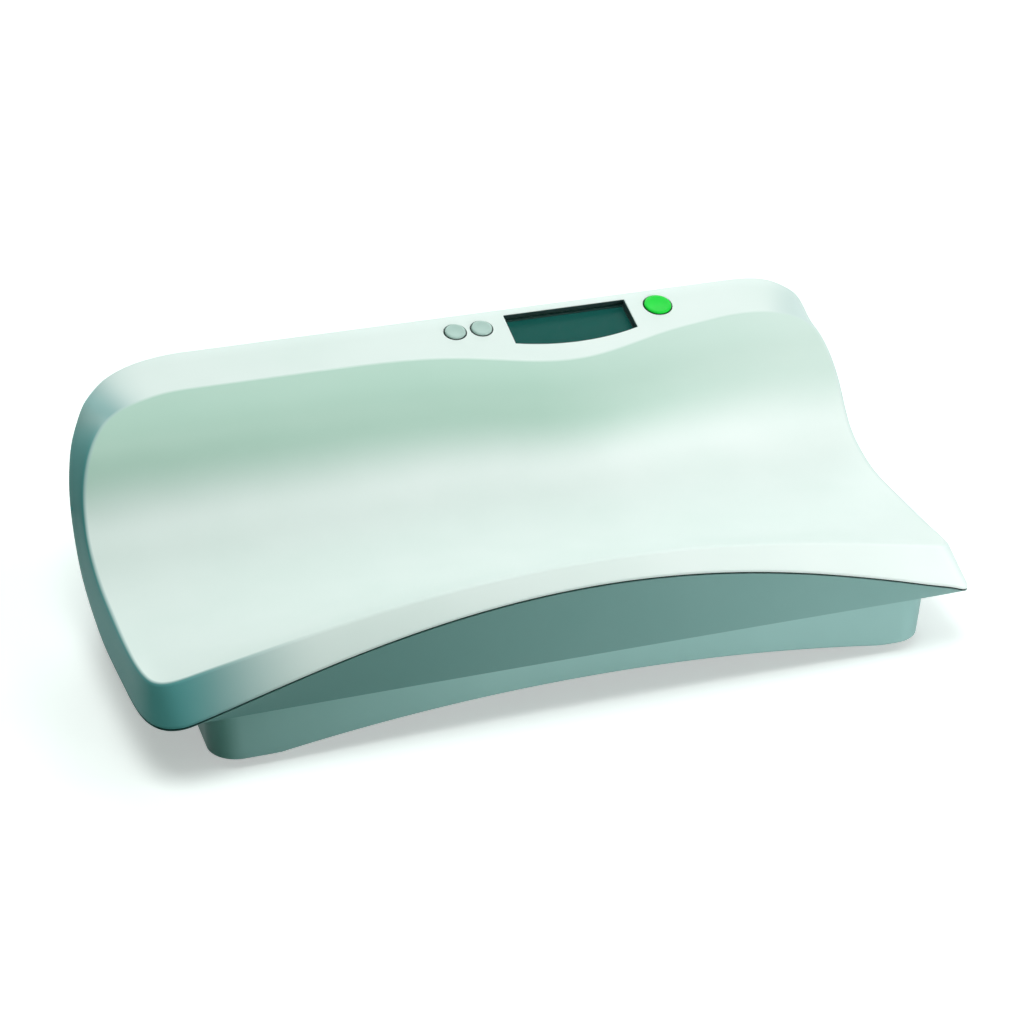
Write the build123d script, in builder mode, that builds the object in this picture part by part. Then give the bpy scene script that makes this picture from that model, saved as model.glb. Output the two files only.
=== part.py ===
"""Digital baby weighing scale: a cradle tray with a console, on a base with four load cells.

Millimetres. X runs along the tray, Y from the front lip to the console, Z up.
The origin is on the floor under the middle of the tray.
"""
import os
from math import asin, cos, exp, hypot, pi, radians, sin, tan

from build123d import *

os.makedirs("parts", exist_ok=True)

# ---------------------------------------------------------------- driving dimensions
# Tray plan
TRAY_END_X = 275.0          # half length at the corners
TRAY_BOW = 7.0              # how far the ends bow out at mid depth
FRONT_Y = -154.0
REAR_Y = 146.0              # rear edge of the console's face
REAR_OUT = 8.0              # how far the back leans out down to the seam
FRONT_CORNER_R = 28.0
REAR_CORNER_R = 96.0
WALL = 3.0                  # moulded wall of both shells
SEAM_GAP = 0.5              # shadow gap between the shells

# Front lip
CORNER_SEAM_Z = 44.0
ARCH_RISE = 54.0
ARCH_CENTRE_X = 11.0
ARCH_HALF = 277.0
ARCH_POWER = 1.25
LIP_RUN = 13.0              # depth of the sloping lip
LIP_DROP_MIDDLE = 9.0
LIP_DROP_CORNER = 25.0

# Seat and backrest
SEAT_Z = 64.5
SEAT_MIDDLE_RISE = 5.0
VALLEY_Y = -29.0
FRONT_BENDS = (1.0, 0.7, 0.4)   # shares of the way from the valley to the lip
FRONT_CURVE = 1.7               # how late the seat climbs to the lip
BACKREST = [                    # shares of the way back, of the climb and of the swell's push
    (0.32, 0.07, 0.5),
    (0.483, 0.25, 0.8),
    (0.59, 0.56, 1.0),
    (0.675, 0.79, 1.0),
]
SHOULDER_CLIMB = 0.93           # share of the climb half way from the last bend to the console
BAND_DEPTH = 21.0           # depth of the tray's side band, square to its skin
BAND_OUT = 9.0              # how far the band spreads over that depth

# Console
CONSOLE_REAR_Z = 153.0
CONSOLE_TILT = 17.8
CONSOLE_DEPTH = 36.0
SWELL_DEPTH = 23.0
SWELL_CENTRE_X = 79.0
SWELL_WIDTH = 51.0
SWELL_PUSH = 13.8           # how far the swell pushes the backrest forward

# Lower shell
FLARE_Z = 40.0              # level of the flat underside of the overhang
FLARE_IN = 10.0             # how far the front face leans in below the lip
REAR_SEAM_Z = 126.0
REAR_LEAN_IN = 46.0         # how far the back leans in from the seam to the underside
END_LEAN = 0.42             # inward lean of the lower shell's ends, per unit of height
FLARE_CORNER_R = 65.0       # rear corners of the overhang's underside
FLARE_CORNER_IN = 77.5      # from the tray's ends to those corners' centres
CORNER_START = 50.0         # from the rear of the underside to where its corners begin
BASE_LENGTH = 475.0
BASE_CENTRE_X = 9.5
BASE_CORNER_R = 20.0
BASE_DRAFT = 5.0
BASE_BOTTOM_Z = 9.0
BASE_ARCH_RISE = 15.0
BASE_ARCH_HALF = 205.0

# Feet and load cells
FOOT_INSET = 33.0           # from the base's sides to the middle of a foot
PAD_R = 17.0
PAD_H = 3.0
CUP_R = 18.5
CUP_H = 8.0
CUP_POST_R = 6.0
FOOT_GAP = 1.0
CELL_BOSS_R = 29.0
CELL_BOSS_H = 4.0
CELL_SIZE = 40.0
CELL_T = 2.5
CELL_TONGUE = 16.0
CELL_SLOT = 2.5
CELL_SCREW_AT = 16.3
CELL_SCREW_R = 1.4
CELL_SCREW_L = 3.0
GAUGE_T = 0.8

# Display
WINDOW_LEFT_X = 43.0
WINDOW_W = 91.0
WINDOW_TOP = 6.2            # from the console's rear edge
WINDOW_H = 30.2
WINDOW_SAG = 6.6
WINDOW_LAP = 1.6
WINDOW_T = 1.6
GASKET_T = 0.8
GASKET_W = 1.2
GLASS_T = 2.8
GLASS_AIR = 0.6             # between the window and the glass
GLASS_FIT = 0.2
CARRIER_WALL = 1.8
BOARD_DEPTH = 13.0          # console face to the top of the display board
BOARD_T = 1.6
BOARD_BACK = 6.0            # from the console's rear edge to the board's
STRIP_W = 3.0

# Buttons
BUTTON_ROW = 17.0           # from the console's rear edge
SMALL_BUTTON_R = 7.4
START_BUTTON_R = 9.8
NET_X = 4.4
HOLD_X = 23.8
START_X = 156.1
BUTTON_PROUD = 1.3
BUTTON_TRAVEL = 1.0
BUTTON_GAP = 0.3
BUTTON_FLANGE = 1.4
BUTTON_FLANGE_T = 1.2
BUTTON_STEM_R = 2.4
BUTTON_TIP_R = 1.6
SWITCH_SIZE = 7.0
SWITCH_H = 3.6
SWITCH_FIT = 0.08
SWITCH_WELL = 2.6

# Battery compartment
BATTERY_R = 7.25
BATTERY_L = 50.0
BATTERY_PITCH = 15.0
BATTERY_COUNT = 4
BATTERY_X = 9.5
BATTERY_Y = -14.0
BATTERY_GAP = 0.3
CASE_WALL = 2.0
CONTACT_T = 0.5
CONTACT_DIMPLE = 1.0
CONTACT_W = 9.0
FRAME_RIM = 10.0            # ledge and rim round the battery opening
FRAME_H = 6.6
DOOR_T = 3.0
DOOR_LEDGE = 4.0
DOOR_GAP = 0.3
HINGE_PIN_R = 0.8
HINGE_PIN_L = 2.4
HINGE_FIT = 0.06

# Junction board
JUNCTION_X = 118.0
JUNCTION_Y = -24.0
JUNCTION_L = 64.0
JUNCTION_W = 44.0
JUNCTION_Z = 30.0
POST_R = 3.0
HEADER_L = 8.0
HEADER_W = 6.0
HEADER_H = 6.0

# Fastenings
TOWER_TOP_Z = 52.0
TOWER_R = 5.2
SCREW_R = 1.8
SCREW_HEAD_R = 3.4
SCREW_HEAD_H = 2.2
SCREW_GRIP = 6.0            # plastic under the screw's head
SCREW_BITE = 8.0            # length in the tray's boss
SCREW_GAP = 0.1
BIT_SPARE = 0.5             # blind holes go on past the screws' tips
BOARD_SCREW_R = 1.2
BOARD_SCREW_HEAD_R = 2.4
BOARD_SCREW_HEAD_H = 1.4
BOARD_SCREW_BITE = 5.0

# Wires
CELL_WIRE_R = 1.2
LEAD_R = 1.3
SIGNAL_R = 1.6

# ---------------------------------------------------------------- derived sizes
TILT = radians(CONSOLE_TILT)
OVER = 4.0                  # how far raw forms run past the outline before it trims them
TALL = 220.0                # above everything
END_SPARE = 2.0             # outline past the ends, which their slopes trim
CORNER_SPARE = 0.5          # corner cuts clear of the rear face
CORNER_OVER = 0.05          # corner cuts run past both ends, as a share of their height
SEAM_REAR_Y = REAR_Y + REAR_OUT
BASE_FRONT_Y = FRONT_Y + FLARE_IN
BASE_REAR_Y = SEAM_REAR_Y - REAR_LEAN_IN
BASE_DEPTH = BASE_REAR_Y - BASE_FRONT_Y
BASE_MID_Y = (BASE_REAR_Y + BASE_FRONT_Y) / 2
STATIONS = sorted(
    [TRAY_END_X * share for share in (-1.09, -0.967, -0.782, -0.545, -0.273, -0.09, 0.673, 0.855, 1.007, 1.09)]
    + [SWELL_CENTRE_X + SWELL_WIDTH * share for share in (-1.25, -0.67, 0, 0.67, 1.25)]
)
FOOT_X = BASE_LENGTH / 2 - FOOT_INSET
FOOT_Y = BASE_DEPTH / 2 - FOOT_INSET
FEET = {
    "front_left": (BASE_CENTRE_X - FOOT_X, BASE_MID_Y - FOOT_Y),
    "front_right": (BASE_CENTRE_X + FOOT_X, BASE_MID_Y - FOOT_Y),
    "rear_left": (BASE_CENTRE_X - FOOT_X, BASE_MID_Y + FOOT_Y),
    "rear_right": (BASE_CENTRE_X + FOOT_X, BASE_MID_Y + FOOT_Y),
}
CELL_SEAT_Z = BASE_BOTTOM_Z + WALL + CELL_BOSS_H
CUP_TOP_Z = PAD_H + CUP_H
TOWER_END_IN = 22.0         # from the tray's ends to the outer screws
TOWER_SIDE_IN = 18.0        # from the base's front and rear to the middle screws
TOWER_MID_X = 105.0
TOWER_CLEAR = 6.0           # between the end towers and the load cells
TOWER_FROM_FOOT = CELL_SIZE / 2 + TOWER_R + TOWER_CLEAR
TOWER_FRONT_Y = BASE_MID_Y - FOOT_Y + TOWER_FROM_FOOT
TOWER_REAR_Y = BASE_MID_Y + FOOT_Y - TOWER_FROM_FOOT
TOWERS = [
    (-TRAY_END_X + TOWER_END_IN, TOWER_FRONT_Y),
    (-TRAY_END_X + TOWER_END_IN, TOWER_REAR_Y),
    (TRAY_END_X - TOWER_END_IN, TOWER_FRONT_Y),
    (TRAY_END_X - TOWER_END_IN, TOWER_REAR_Y),
    (-TOWER_MID_X, BASE_FRONT_Y + TOWER_SIDE_IN),
    (TOWER_MID_X, BASE_FRONT_Y + TOWER_SIDE_IN),
    (-TOWER_MID_X, BASE_REAR_Y - TOWER_SIDE_IN),
    (TOWER_MID_X, BASE_REAR_Y - TOWER_SIDE_IN),
]
GASKET_DEPTH = WALL
WINDOW_DEPTH = GASKET_DEPTH + GASKET_T
CARRIER_DEPTH = WINDOW_DEPTH + WINDOW_T
GLASS_DEPTH = CARRIER_DEPTH + GLASS_AIR
STRIP_DEPTH = GLASS_DEPTH + GLASS_T
GLASS_BACK = WINDOW_TOP + 1.4
GLASS_FRONT = WINDOW_TOP + WINDOW_H + WINDOW_SAG
GLASS_W = WINDOW_W - 2.0
GLASS_D = GLASS_FRONT - GLASS_BACK
WINDOW_MID_X = WINDOW_LEFT_X + WINDOW_W / 2
GLASS_MID_V = -(GLASS_FRONT + GLASS_BACK) / 2
SWITCH_TOP = BOARD_DEPTH - SWITCH_H
BUTTONS = {
    "net_button": (NET_X, SMALL_BUTTON_R),
    "hold_button": (HOLD_X, SMALL_BUTTON_R),
    "start_button": (START_X, START_BUTTON_R),
}
BOARD_BOSSES = [
    (NET_X - SMALL_BUTTON_R - 5.6, -BUTTON_ROW),
    (HOLD_X + SMALL_BUTTON_R + 2.8, -BUTTON_ROW - 13.0),
    (START_X - START_BUTTON_R - 3.8, -BUTTON_ROW - 15.0),
    (START_X + START_BUTTON_R + 6.2, -BUTTON_ROW),
]
BOSS_R = 3.0
BOARD_END = 4.5             # board past its outer bosses
BATTERY_SPAN_X = BATTERY_PITCH * BATTERY_COUNT + 2 * BATTERY_GAP
BATTERY_SPAN_Y = BATTERY_L + 2 * (CONTACT_T + CONTACT_DIMPLE)
FRAME_Z = BASE_BOTTOM_Z + BASE_ARCH_RISE - 0.6
FRAME_TOP_Z = FRAME_Z + FRAME_H
BATTERY_Z = FRAME_Z + DOOR_T + BATTERY_GAP + BATTERY_R
CASE_TOP_Z = BATTERY_Z + BATTERY_R + BATTERY_GAP + CASE_WALL
DOOR_SPAN_X = BATTERY_SPAN_X + 2 * DOOR_LEDGE
DOOR_SPAN_Y = BATTERY_SPAN_Y + 2 * DOOR_LEDGE
HINGE_Y = BATTERY_Y + DOOR_SPAN_Y / 2 - DOOR_T / 2
HINGE_Z = FRAME_Z + DOOR_T / 2

console = Plane(origin=(0, REAR_Y, CONSOLE_REAR_Z), x_dir=(1, 0, 0), z_dir=(0, -sin(TILT), cos(TILT)))


def arch(x):
    """Share of the lip's rise at a place along the tray: one in the middle, zero at the ends."""
    offset = min(abs(x - ARCH_CENTRE_X) / ARCH_HALF, 1.0)
    return (1 - offset**2) ** ARCH_POWER


def swell(x):
    """Share of the console's forward swell at a place along the tray."""
    return exp(-(((x - SWELL_CENTRE_X) / SWELL_WIDTH) ** 2) / 2)


def lip_z(x):
    """Height of the seam under the front lip."""
    return CORNER_SEAM_Z + ARCH_RISE * arch(x)


def crown_points(x):
    """Cross-section of the tray's upper surface as (y, z) from the lip's crease to the console's."""
    crease_z = lip_z(x) + LIP_DROP_CORNER + (LIP_DROP_MIDDLE - LIP_DROP_CORNER) * arch(x)
    seat = SEAT_Z + SEAT_MIDDLE_RISE * arch(x)
    depth = CONSOLE_DEPTH + SWELL_DEPTH * swell(x)
    console_y = REAR_Y - depth * cos(TILT)
    console_z = CONSOLE_REAR_Z - depth * sin(TILT)
    push = SWELL_PUSH * swell(x)
    climb = console_z - seat
    rise = crease_z - seat
    reach = VALLEY_Y - (FRONT_Y + LIP_RUN)
    way_back = REAR_Y - CONSOLE_DEPTH * cos(TILT) - VALLEY_Y
    line = [(VALLEY_Y - reach * share, seat + rise * share**FRONT_CURVE) for share in FRONT_BENDS]
    line.append((VALLEY_Y, seat))
    for back_share, climb_share, push_share in BACKREST:
        line.append((VALLEY_Y + way_back * back_share - push * push_share, seat + climb * climb_share))
    line.append(((line[-1][0] + console_y) / 2, seat + climb * SHOULDER_CLIMB))
    line.append((console_y, console_z))
    return line


def inset(points, depth):
    """Moves a cross-section's points square to its line, down into the wall."""
    moved = []
    for index, (y, z) in enumerate(points):
        before = points[max(index - 1, 0)]
        after = points[min(index + 1, len(points) - 1)]
        run = hypot(after[0] - before[0], after[1] - before[1])
        moved.append((y + depth * (after[1] - before[1]) / run, z - depth * (after[0] - before[0]) / run))
    return moved


def seam_points(x):
    """Cross-section of the surface that parts the two shells."""
    points = crown_points(x)
    lowered = inset(points, BAND_DEPTH)
    front = [(FRONT_Y - OVER, lip_z(x)), (points[0][0], lip_z(x))]
    return front + lowered[1:-1] + [(SEAM_REAR_Y + OVER, REAR_SEAM_Z)]


def plan_form(margin):
    """Block with the tray's rounded plan outline, set in by a margin."""
    end_x = TRAY_END_X + END_SPARE - margin
    right = (end_x, FRONT_Y + margin)
    right_rear = (end_x, SEAM_REAR_Y - margin)
    left_rear = (-end_x, SEAM_REAR_Y - margin)
    left = (-end_x, FRONT_Y + margin)
    bow = end_x + TRAY_BOW
    with BuildPart() as block:
        with BuildSketch(Plane.XY):
            with BuildLine():
                Line(left, right)
                ThreePointArc(right, (bow, 0), right_rear)
                Line(right_rear, left_rear)
                ThreePointArc(left_rear, (-bow, 0), left)
            make_face()
            fillet(vertices().group_by(Axis.Y)[0], FRONT_CORNER_R - margin)
            fillet(vertices().group_by(Axis.Y)[-1], REAR_CORNER_R - margin)
        extrude(amount=TALL)
    return block.part


def crown_form(depth):
    """Everything under the tray's upper surface, with the surface lowered by a depth."""
    back_slope = (CONSOLE_REAR_Z - REAR_SEAM_Z) / REAR_OUT
    back_y = SEAM_REAR_Y - depth + OVER
    with BuildPart() as form:
        for x in STATIONS:
            points = crown_points(x)
            lip_slope = (points[0][1] - lip_z(x)) / LIP_RUN
            lip = (FRONT_Y - OVER, points[0][1] - lip_slope * (LIP_RUN + OVER))
            line = inset([lip] + points, depth)
            edge_y = REAR_Y - depth
            edge_z = CONSOLE_REAR_Z - depth * tan(TILT) - depth / cos(TILT)
            back_z = edge_z - back_slope * (back_y - edge_y)
            with BuildSketch(Plane.YZ.offset(x)):
                with BuildLine():
                    Line(line[0], line[1])
                    Spline(line[1:])
                    Polyline(line[-1], (edge_y, edge_z), (back_y, back_z), (back_y, 0), (line[0][0], 0), line[0])
                make_face()
        loft()
    return form.part


def seam_form(drop):
    """Everything under the parting surface, lowered by a drop."""
    with BuildPart() as form:
        for x in STATIONS:
            line = [(y, z - drop) for y, z in seam_points(x)]
            with BuildSketch(Plane.YZ.offset(x)):
                with BuildLine():
                    Spline(line)
                    Polyline(line[-1], (line[-1][0], -OVER), (line[0][0], -OVER), line[0])
                make_face()
        loft()
    return form.part


def end_cut(side, margin, lean, reach):
    """What lies outside one sloping end, whose line passes through the seam and leans out upwards."""
    far = side * (TRAY_END_X + TRAY_BOW + 60)
    with BuildPart() as form:
        for y, seam_z in seam_points(side * TRAY_END_X):
            edge = TRAY_END_X + TRAY_BOW * (1 - (y / SEAM_REAR_Y) ** 2) - margin
            low_z, high_z = seam_z - reach[0], seam_z + reach[1]
            foot = side * (edge - lean * reach[0])
            head = side * (edge + lean * reach[1])
            with BuildSketch(Plane.XZ.offset(-y)):
                with BuildLine():
                    Polyline((foot, low_z), (head, high_z), (far, high_z), (far, low_z), (foot, low_z))
                make_face()
        loft()
    return form.part


def band_cut(side, margin):
    """Shapes the tray's end above the seam, where its side band leans in upwards."""
    return end_cut(side, margin, -BAND_OUT / BAND_DEPTH, (2 * OVER, TALL / 2))


def under_cut(side, margin):
    """Shapes the lower shell's end below the seam, where it leans in downwards."""
    return end_cut(side, margin, END_LEAN, (REAR_SEAM_Z - FLARE_Z + OVER, 2 * OVER))


def corner_cut(side, margin):
    """What lies outside one rear corner of the lower shell, which tightens downwards."""
    far_x = side * (TRAY_END_X + REAR_CORNER_R)
    far_y = SEAM_REAR_Y + REAR_CORNER_R
    top_x = TRAY_END_X + TRAY_BOW - REAR_CORNER_R
    low_x = TRAY_END_X + TRAY_BOW - FLARE_CORNER_IN
    with BuildPart() as form:
        for share in (-CORNER_OVER, 1 + CORNER_OVER):
            radius = FLARE_CORNER_R + (REAR_CORNER_R - FLARE_CORNER_R) * share - margin
            middle_x = low_x + (top_x - low_x) * share
            middle_y = BASE_REAR_Y + REAR_LEAN_IN * share + CORNER_SPARE - radius - margin
            start_y = BASE_REAR_Y - CORNER_START + (REAR_CORNER_R - FLARE_CORNER_R) * share
            turn = asin((start_y - middle_y) / radius)
            half = (pi / 2 + turn) / 2
            start = (side * (middle_x + radius * cos(turn)), start_y)
            bend = (side * (middle_x + radius * cos(half)), middle_y + radius * sin(half))
            finish = (side * middle_x, middle_y + radius)
            with BuildSketch(Plane.XY.offset(FLARE_Z + (REAR_SEAM_Z - FLARE_Z) * share)):
                with BuildLine():
                    ThreePointArc(start, bend, finish)
                    Polyline(finish, (side * middle_x, far_y), (far_x, far_y), (far_x, start_y), start)
                make_face()
        loft(ruled=True)
    return form.part


def flare_form(margin):
    """The lower shell's block above its flat underside, with its front and back faces."""
    floor_z = FLARE_Z + margin
    front_y = BASE_FRONT_Y + margin
    back_y = BASE_REAR_Y - margin
    rear_share = (SEAM_REAR_Y + OVER - BASE_REAR_Y) / REAR_LEAN_IN
    with BuildPart() as form:
        for x in STATIONS:
            lean = (FLARE_IN + OVER) / FLARE_IN
            lip = (front_y - FLARE_IN - OVER, FLARE_Z + (lip_z(x) - FLARE_Z) * lean)
            rear = (back_y + REAR_LEAN_IN * rear_share, FLARE_Z + (REAR_SEAM_Z - FLARE_Z) * rear_share)
            with BuildSketch(Plane.YZ.offset(x)):
                with BuildLine():
                    Polyline(
                        (front_y, floor_z), lip, (lip[0], TALL), (rear[0], TALL), rear,
                        (back_y, floor_z), (front_y, floor_z),
                    )
                make_face()
        loft()
    return form.part


def base_form(margin):
    """The base under the flare: drafted sides and an arched bottom."""
    half = BASE_ARCH_HALF
    end_z = BASE_BOTTOM_Z + margin
    top_z = end_z + BASE_ARCH_RISE
    centre = (BASE_CENTRE_X, BASE_MID_Y)
    with BuildPart() as form:
        with BuildSketch(Plane.XY.offset(FLARE_Z)):
            with Locations(centre):
                RectangleRounded(BASE_LENGTH - 2 * margin, BASE_DEPTH - 2 * margin, BASE_CORNER_R - margin)
        extrude(amount=margin + 0.01)
        with BuildSketch(Plane.XY.offset(FLARE_Z)):
            with Locations(centre):
                RectangleRounded(BASE_LENGTH - 2 * margin, BASE_DEPTH - 2 * margin, BASE_CORNER_R - margin)
        extrude(amount=-(FLARE_Z - BASE_BOTTOM_Z), taper=BASE_DRAFT)
        with BuildSketch(Plane.XZ.offset(-BASE_MID_Y)):
            with BuildLine():
                left = (BASE_CENTRE_X - half, end_z)
                right = (BASE_CENTRE_X + half, end_z)
                ThreePointArc(left, (BASE_CENTRE_X, top_z), right)
                far = BASE_LENGTH
                Polyline(right, (far, end_z), (far, -OVER), (-far, -OVER), (-far, end_z), left)
            make_face()
        extrude(amount=BASE_DEPTH, both=True, mode=Mode.SUBTRACT)
    return form.part


def floor_z(x):
    """Height of the base's inner floor."""
    offset = min(abs(x - BASE_CENTRE_X) / BASE_ARCH_HALF, 1.0)
    return BASE_BOTTOM_Z + WALL + BASE_ARCH_RISE * (1 - offset**2)


def window_sketch(margin):
    """The display's outline on the console's face, with its bowed lower edge."""
    left = WINDOW_LEFT_X - margin
    right = WINDOW_LEFT_X + WINDOW_W + margin
    top = -WINDOW_TOP + margin
    low = -WINDOW_TOP - WINDOW_H - margin
    with BuildSketch() as window:
        with BuildLine():
            Polyline((left, low), (left, top), (right, top), (right, low))
            ThreePointArc((right, low), (WINDOW_MID_X, low - WINDOW_SAG), (left, low))
        make_face()
    return window.sketch


def cable(points, radius):
    """A round wire along straight runs joined by tangent arcs."""
    points = [Vector(*point) for point in points]
    with BuildPart() as wire:
        with BuildLine() as route:
            start = points[0]
            for before, corner, after in zip(points, points[1:], points[2:]):
                back = (before - corner).normalized()
                ahead = (after - corner).normalized()
                reach = 0.45 * min((before - corner).length, (after - corner).length)
                half_turn = (pi - radians(back.get_angle(ahead))) / 2
                bend = reach / tan(half_turn)
                inward = (back + ahead).normalized()
                middle = corner + inward * (hypot(reach, bend) - bend)
                Line(start, corner + back * reach)
                ThreePointArc(corner + back * reach, middle, corner + ahead * reach)
                start = corner + ahead * reach
            Line(start, points[-1])
        with BuildSketch(Plane(origin=points[0], z_dir=(points[1] - points[0]))):
            Circle(radius)
        sweep()
    expected = pi * radius**2 * sum(edge.length for edge in route.edges())
    if abs(wire.part.volume / expected - 1) > 0.02:
        raise ValueError(f"a wire lost its section: {wire.part.volume:.1f} of {expected:.1f} mm3")
    return wire.part


def save(part, name):
    """Names a finished piece and writes it."""
    part.label = name
    export_step(part, f"parts/{name}.step")


# ---------------------------------------------------------------- shells
outline = plan_form(0)
outline_inner = plan_form(WALL)

with BuildPart() as tray_body:
    add(outline)
    add(crown_form(0), mode=Mode.INTERSECT)
    add(seam_form(0), mode=Mode.SUBTRACT)
    for side in (-1, 1):
        add(band_cut(side, 0), mode=Mode.SUBTRACT)

with BuildPart() as tray_hollow:
    add(outline_inner)
    add(crown_form(WALL), mode=Mode.INTERSECT)
    for side in (-1, 1):
        add(band_cut(side, WALL), mode=Mode.SUBTRACT)

with BuildPart() as tray_bosses:
    with BuildSketch(Plane.XY.offset(TOWER_TOP_Z)):
        with Locations(*TOWERS):
            Circle(TOWER_R)
    extrude(amount=TALL - TOWER_TOP_Z)
    add(crown_form(WALL / 2), mode=Mode.INTERSECT)
    with BuildSketch(console.offset(-WALL / 2)):
        with Locations(*BOARD_BOSSES):
            Circle(BOSS_R)
    extrude(amount=-(BOARD_DEPTH - WALL / 2))

with BuildPart() as tray_shell:
    add(tray_body.part)
    add(tray_hollow.part, mode=Mode.SUBTRACT)
    add(tray_bosses.part)
    with BuildSketch(Plane.XY.offset(TOWER_TOP_Z)):
        with Locations(*TOWERS):
            Circle(SCREW_R + SCREW_GAP)
    extrude(amount=SCREW_BITE + BIT_SPARE, mode=Mode.SUBTRACT)
    with BuildSketch(console.offset(-BOARD_DEPTH)):
        with Locations(*BOARD_BOSSES):
            Circle(BOARD_SCREW_R + SCREW_GAP)
    extrude(amount=BOARD_SCREW_BITE + BIT_SPARE, mode=Mode.SUBTRACT)
    with BuildSketch(console.offset(WALL)):
        add(window_sketch(0))
        for x, radius in BUTTONS.values():
            with Locations((x, -BUTTON_ROW)):
                Circle(radius + BUTTON_GAP)
    extrude(amount=-3 * WALL, mode=Mode.SUBTRACT)
save(tray_shell.part, "tray_shell")

with BuildPart() as lower_body:
    add(outline)
    add(seam_form(SEAM_GAP), mode=Mode.INTERSECT)
    add(flare_form(0), mode=Mode.INTERSECT)
    for side in (-1, 1):
        add(under_cut(side, 0), mode=Mode.SUBTRACT)
        add(corner_cut(side, 0), mode=Mode.SUBTRACT)
    add(base_form(0))

with BuildPart() as lower_hollow:
    add(outline_inner)
    add(flare_form(WALL), mode=Mode.INTERSECT)
    for side in (-1, 1):
        add(under_cut(side, WALL), mode=Mode.SUBTRACT)
        add(corner_cut(side, WALL), mode=Mode.SUBTRACT)
    add(base_form(WALL))

JUNCTION_POSTS = (JUNCTION_L - 4 * POST_R, JUNCTION_W - 4 * POST_R, 2, 2)
with BuildPart() as floor_bosses:
    # towers that meet the tray's bosses
    with BuildSketch(Plane.XY.offset(TOWER_TOP_Z)):
        with Locations(*TOWERS):
            Circle(TOWER_R)
    extrude(amount=-TOWER_TOP_Z)
    # rings that carry the load cells over the foot openings
    with BuildSketch(Plane.XY.offset(CELL_SEAT_Z)):
        with Locations(*FEET.values()):
            Circle(CELL_BOSS_R)
    extrude(amount=-CELL_SEAT_Z)
    # posts of the junction board
    with BuildSketch(Plane.XY.offset(JUNCTION_Z)):
        with Locations((JUNCTION_X, JUNCTION_Y)):
            with GridLocations(*JUNCTION_POSTS):
                Circle(POST_R)
    extrude(amount=-JUNCTION_Z)
    add(lower_body.part, mode=Mode.INTERSECT)

with BuildPart() as lower_shell:
    add(lower_body.part)
    add(lower_hollow.part, mode=Mode.SUBTRACT)
    add(floor_bosses.part)
    # screw holes through the towers, with the heads sunk from below
    with BuildSketch(Plane.XY.offset(TOWER_TOP_Z)):
        with Locations(*TOWERS):
            Circle(SCREW_R + SCREW_GAP)
    extrude(amount=-TOWER_TOP_Z, mode=Mode.SUBTRACT)
    with BuildSketch(Plane.XY.offset(TOWER_TOP_Z - SCREW_GRIP)):
        with Locations(*TOWERS):
            Circle(SCREW_HEAD_R + SCREW_GAP)
    extrude(amount=-TOWER_TOP_Z, mode=Mode.SUBTRACT)
    # foot openings and the load cells' screw holes
    with BuildSketch(Plane.XY.offset(CELL_SEAT_Z)):
        with Locations(*FEET.values()):
            Circle(CUP_R + FOOT_GAP)
    extrude(amount=-CELL_SEAT_Z, mode=Mode.SUBTRACT)
    with BuildSketch(Plane.XY.offset(CELL_SEAT_Z)):
        for place in FEET.values():
            with Locations(place):
                with GridLocations(2 * CELL_SCREW_AT, 2 * CELL_SCREW_AT, 2, 2):
                    Circle(CELL_SCREW_R + SCREW_GAP)
    extrude(amount=-(CELL_SCREW_L + BIT_SPARE), mode=Mode.SUBTRACT)
    # the junction board's screw holes
    with BuildSketch(Plane.XY.offset(JUNCTION_Z)):
        with Locations((JUNCTION_X, JUNCTION_Y)):
            with GridLocations(*JUNCTION_POSTS):
                Circle(BOARD_SCREW_R + SCREW_GAP)
    extrude(amount=-(BOARD_SCREW_BITE + BIT_SPARE), mode=Mode.SUBTRACT)
    # frame of the battery opening, with the door's recess and hinge holes
    with BuildSketch(Plane.XY.offset(FRAME_Z)):
        with Locations((BATTERY_X, BATTERY_Y)):
            Rectangle(BATTERY_SPAN_X + 2 * FRAME_RIM, BATTERY_SPAN_Y + 2 * FRAME_RIM)
    extrude(amount=FRAME_H)
    with BuildSketch(Plane.XY.offset(FRAME_Z)):
        with Locations((BATTERY_X, BATTERY_Y)):
            Rectangle(DOOR_SPAN_X + 2 * DOOR_GAP, DOOR_SPAN_Y + 2 * DOOR_GAP)
    extrude(amount=DOOR_T + DOOR_GAP, mode=Mode.SUBTRACT)
    with BuildSketch(Plane.XY.offset(FRAME_Z)):
        with Locations((BATTERY_X, BATTERY_Y)):
            Rectangle(BATTERY_SPAN_X, BATTERY_SPAN_Y)
    extrude(amount=FRAME_H, mode=Mode.SUBTRACT)
    with BuildSketch(Plane.YZ.offset(BATTERY_X)):
        with Locations((HINGE_Y, HINGE_Z)):
            Circle(HINGE_PIN_R + HINGE_FIT)
    extrude(amount=DOOR_SPAN_X / 2 + HINGE_PIN_L + DOOR_GAP, both=True, mode=Mode.SUBTRACT)
save(lower_shell.part, "lower_shell")

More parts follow.
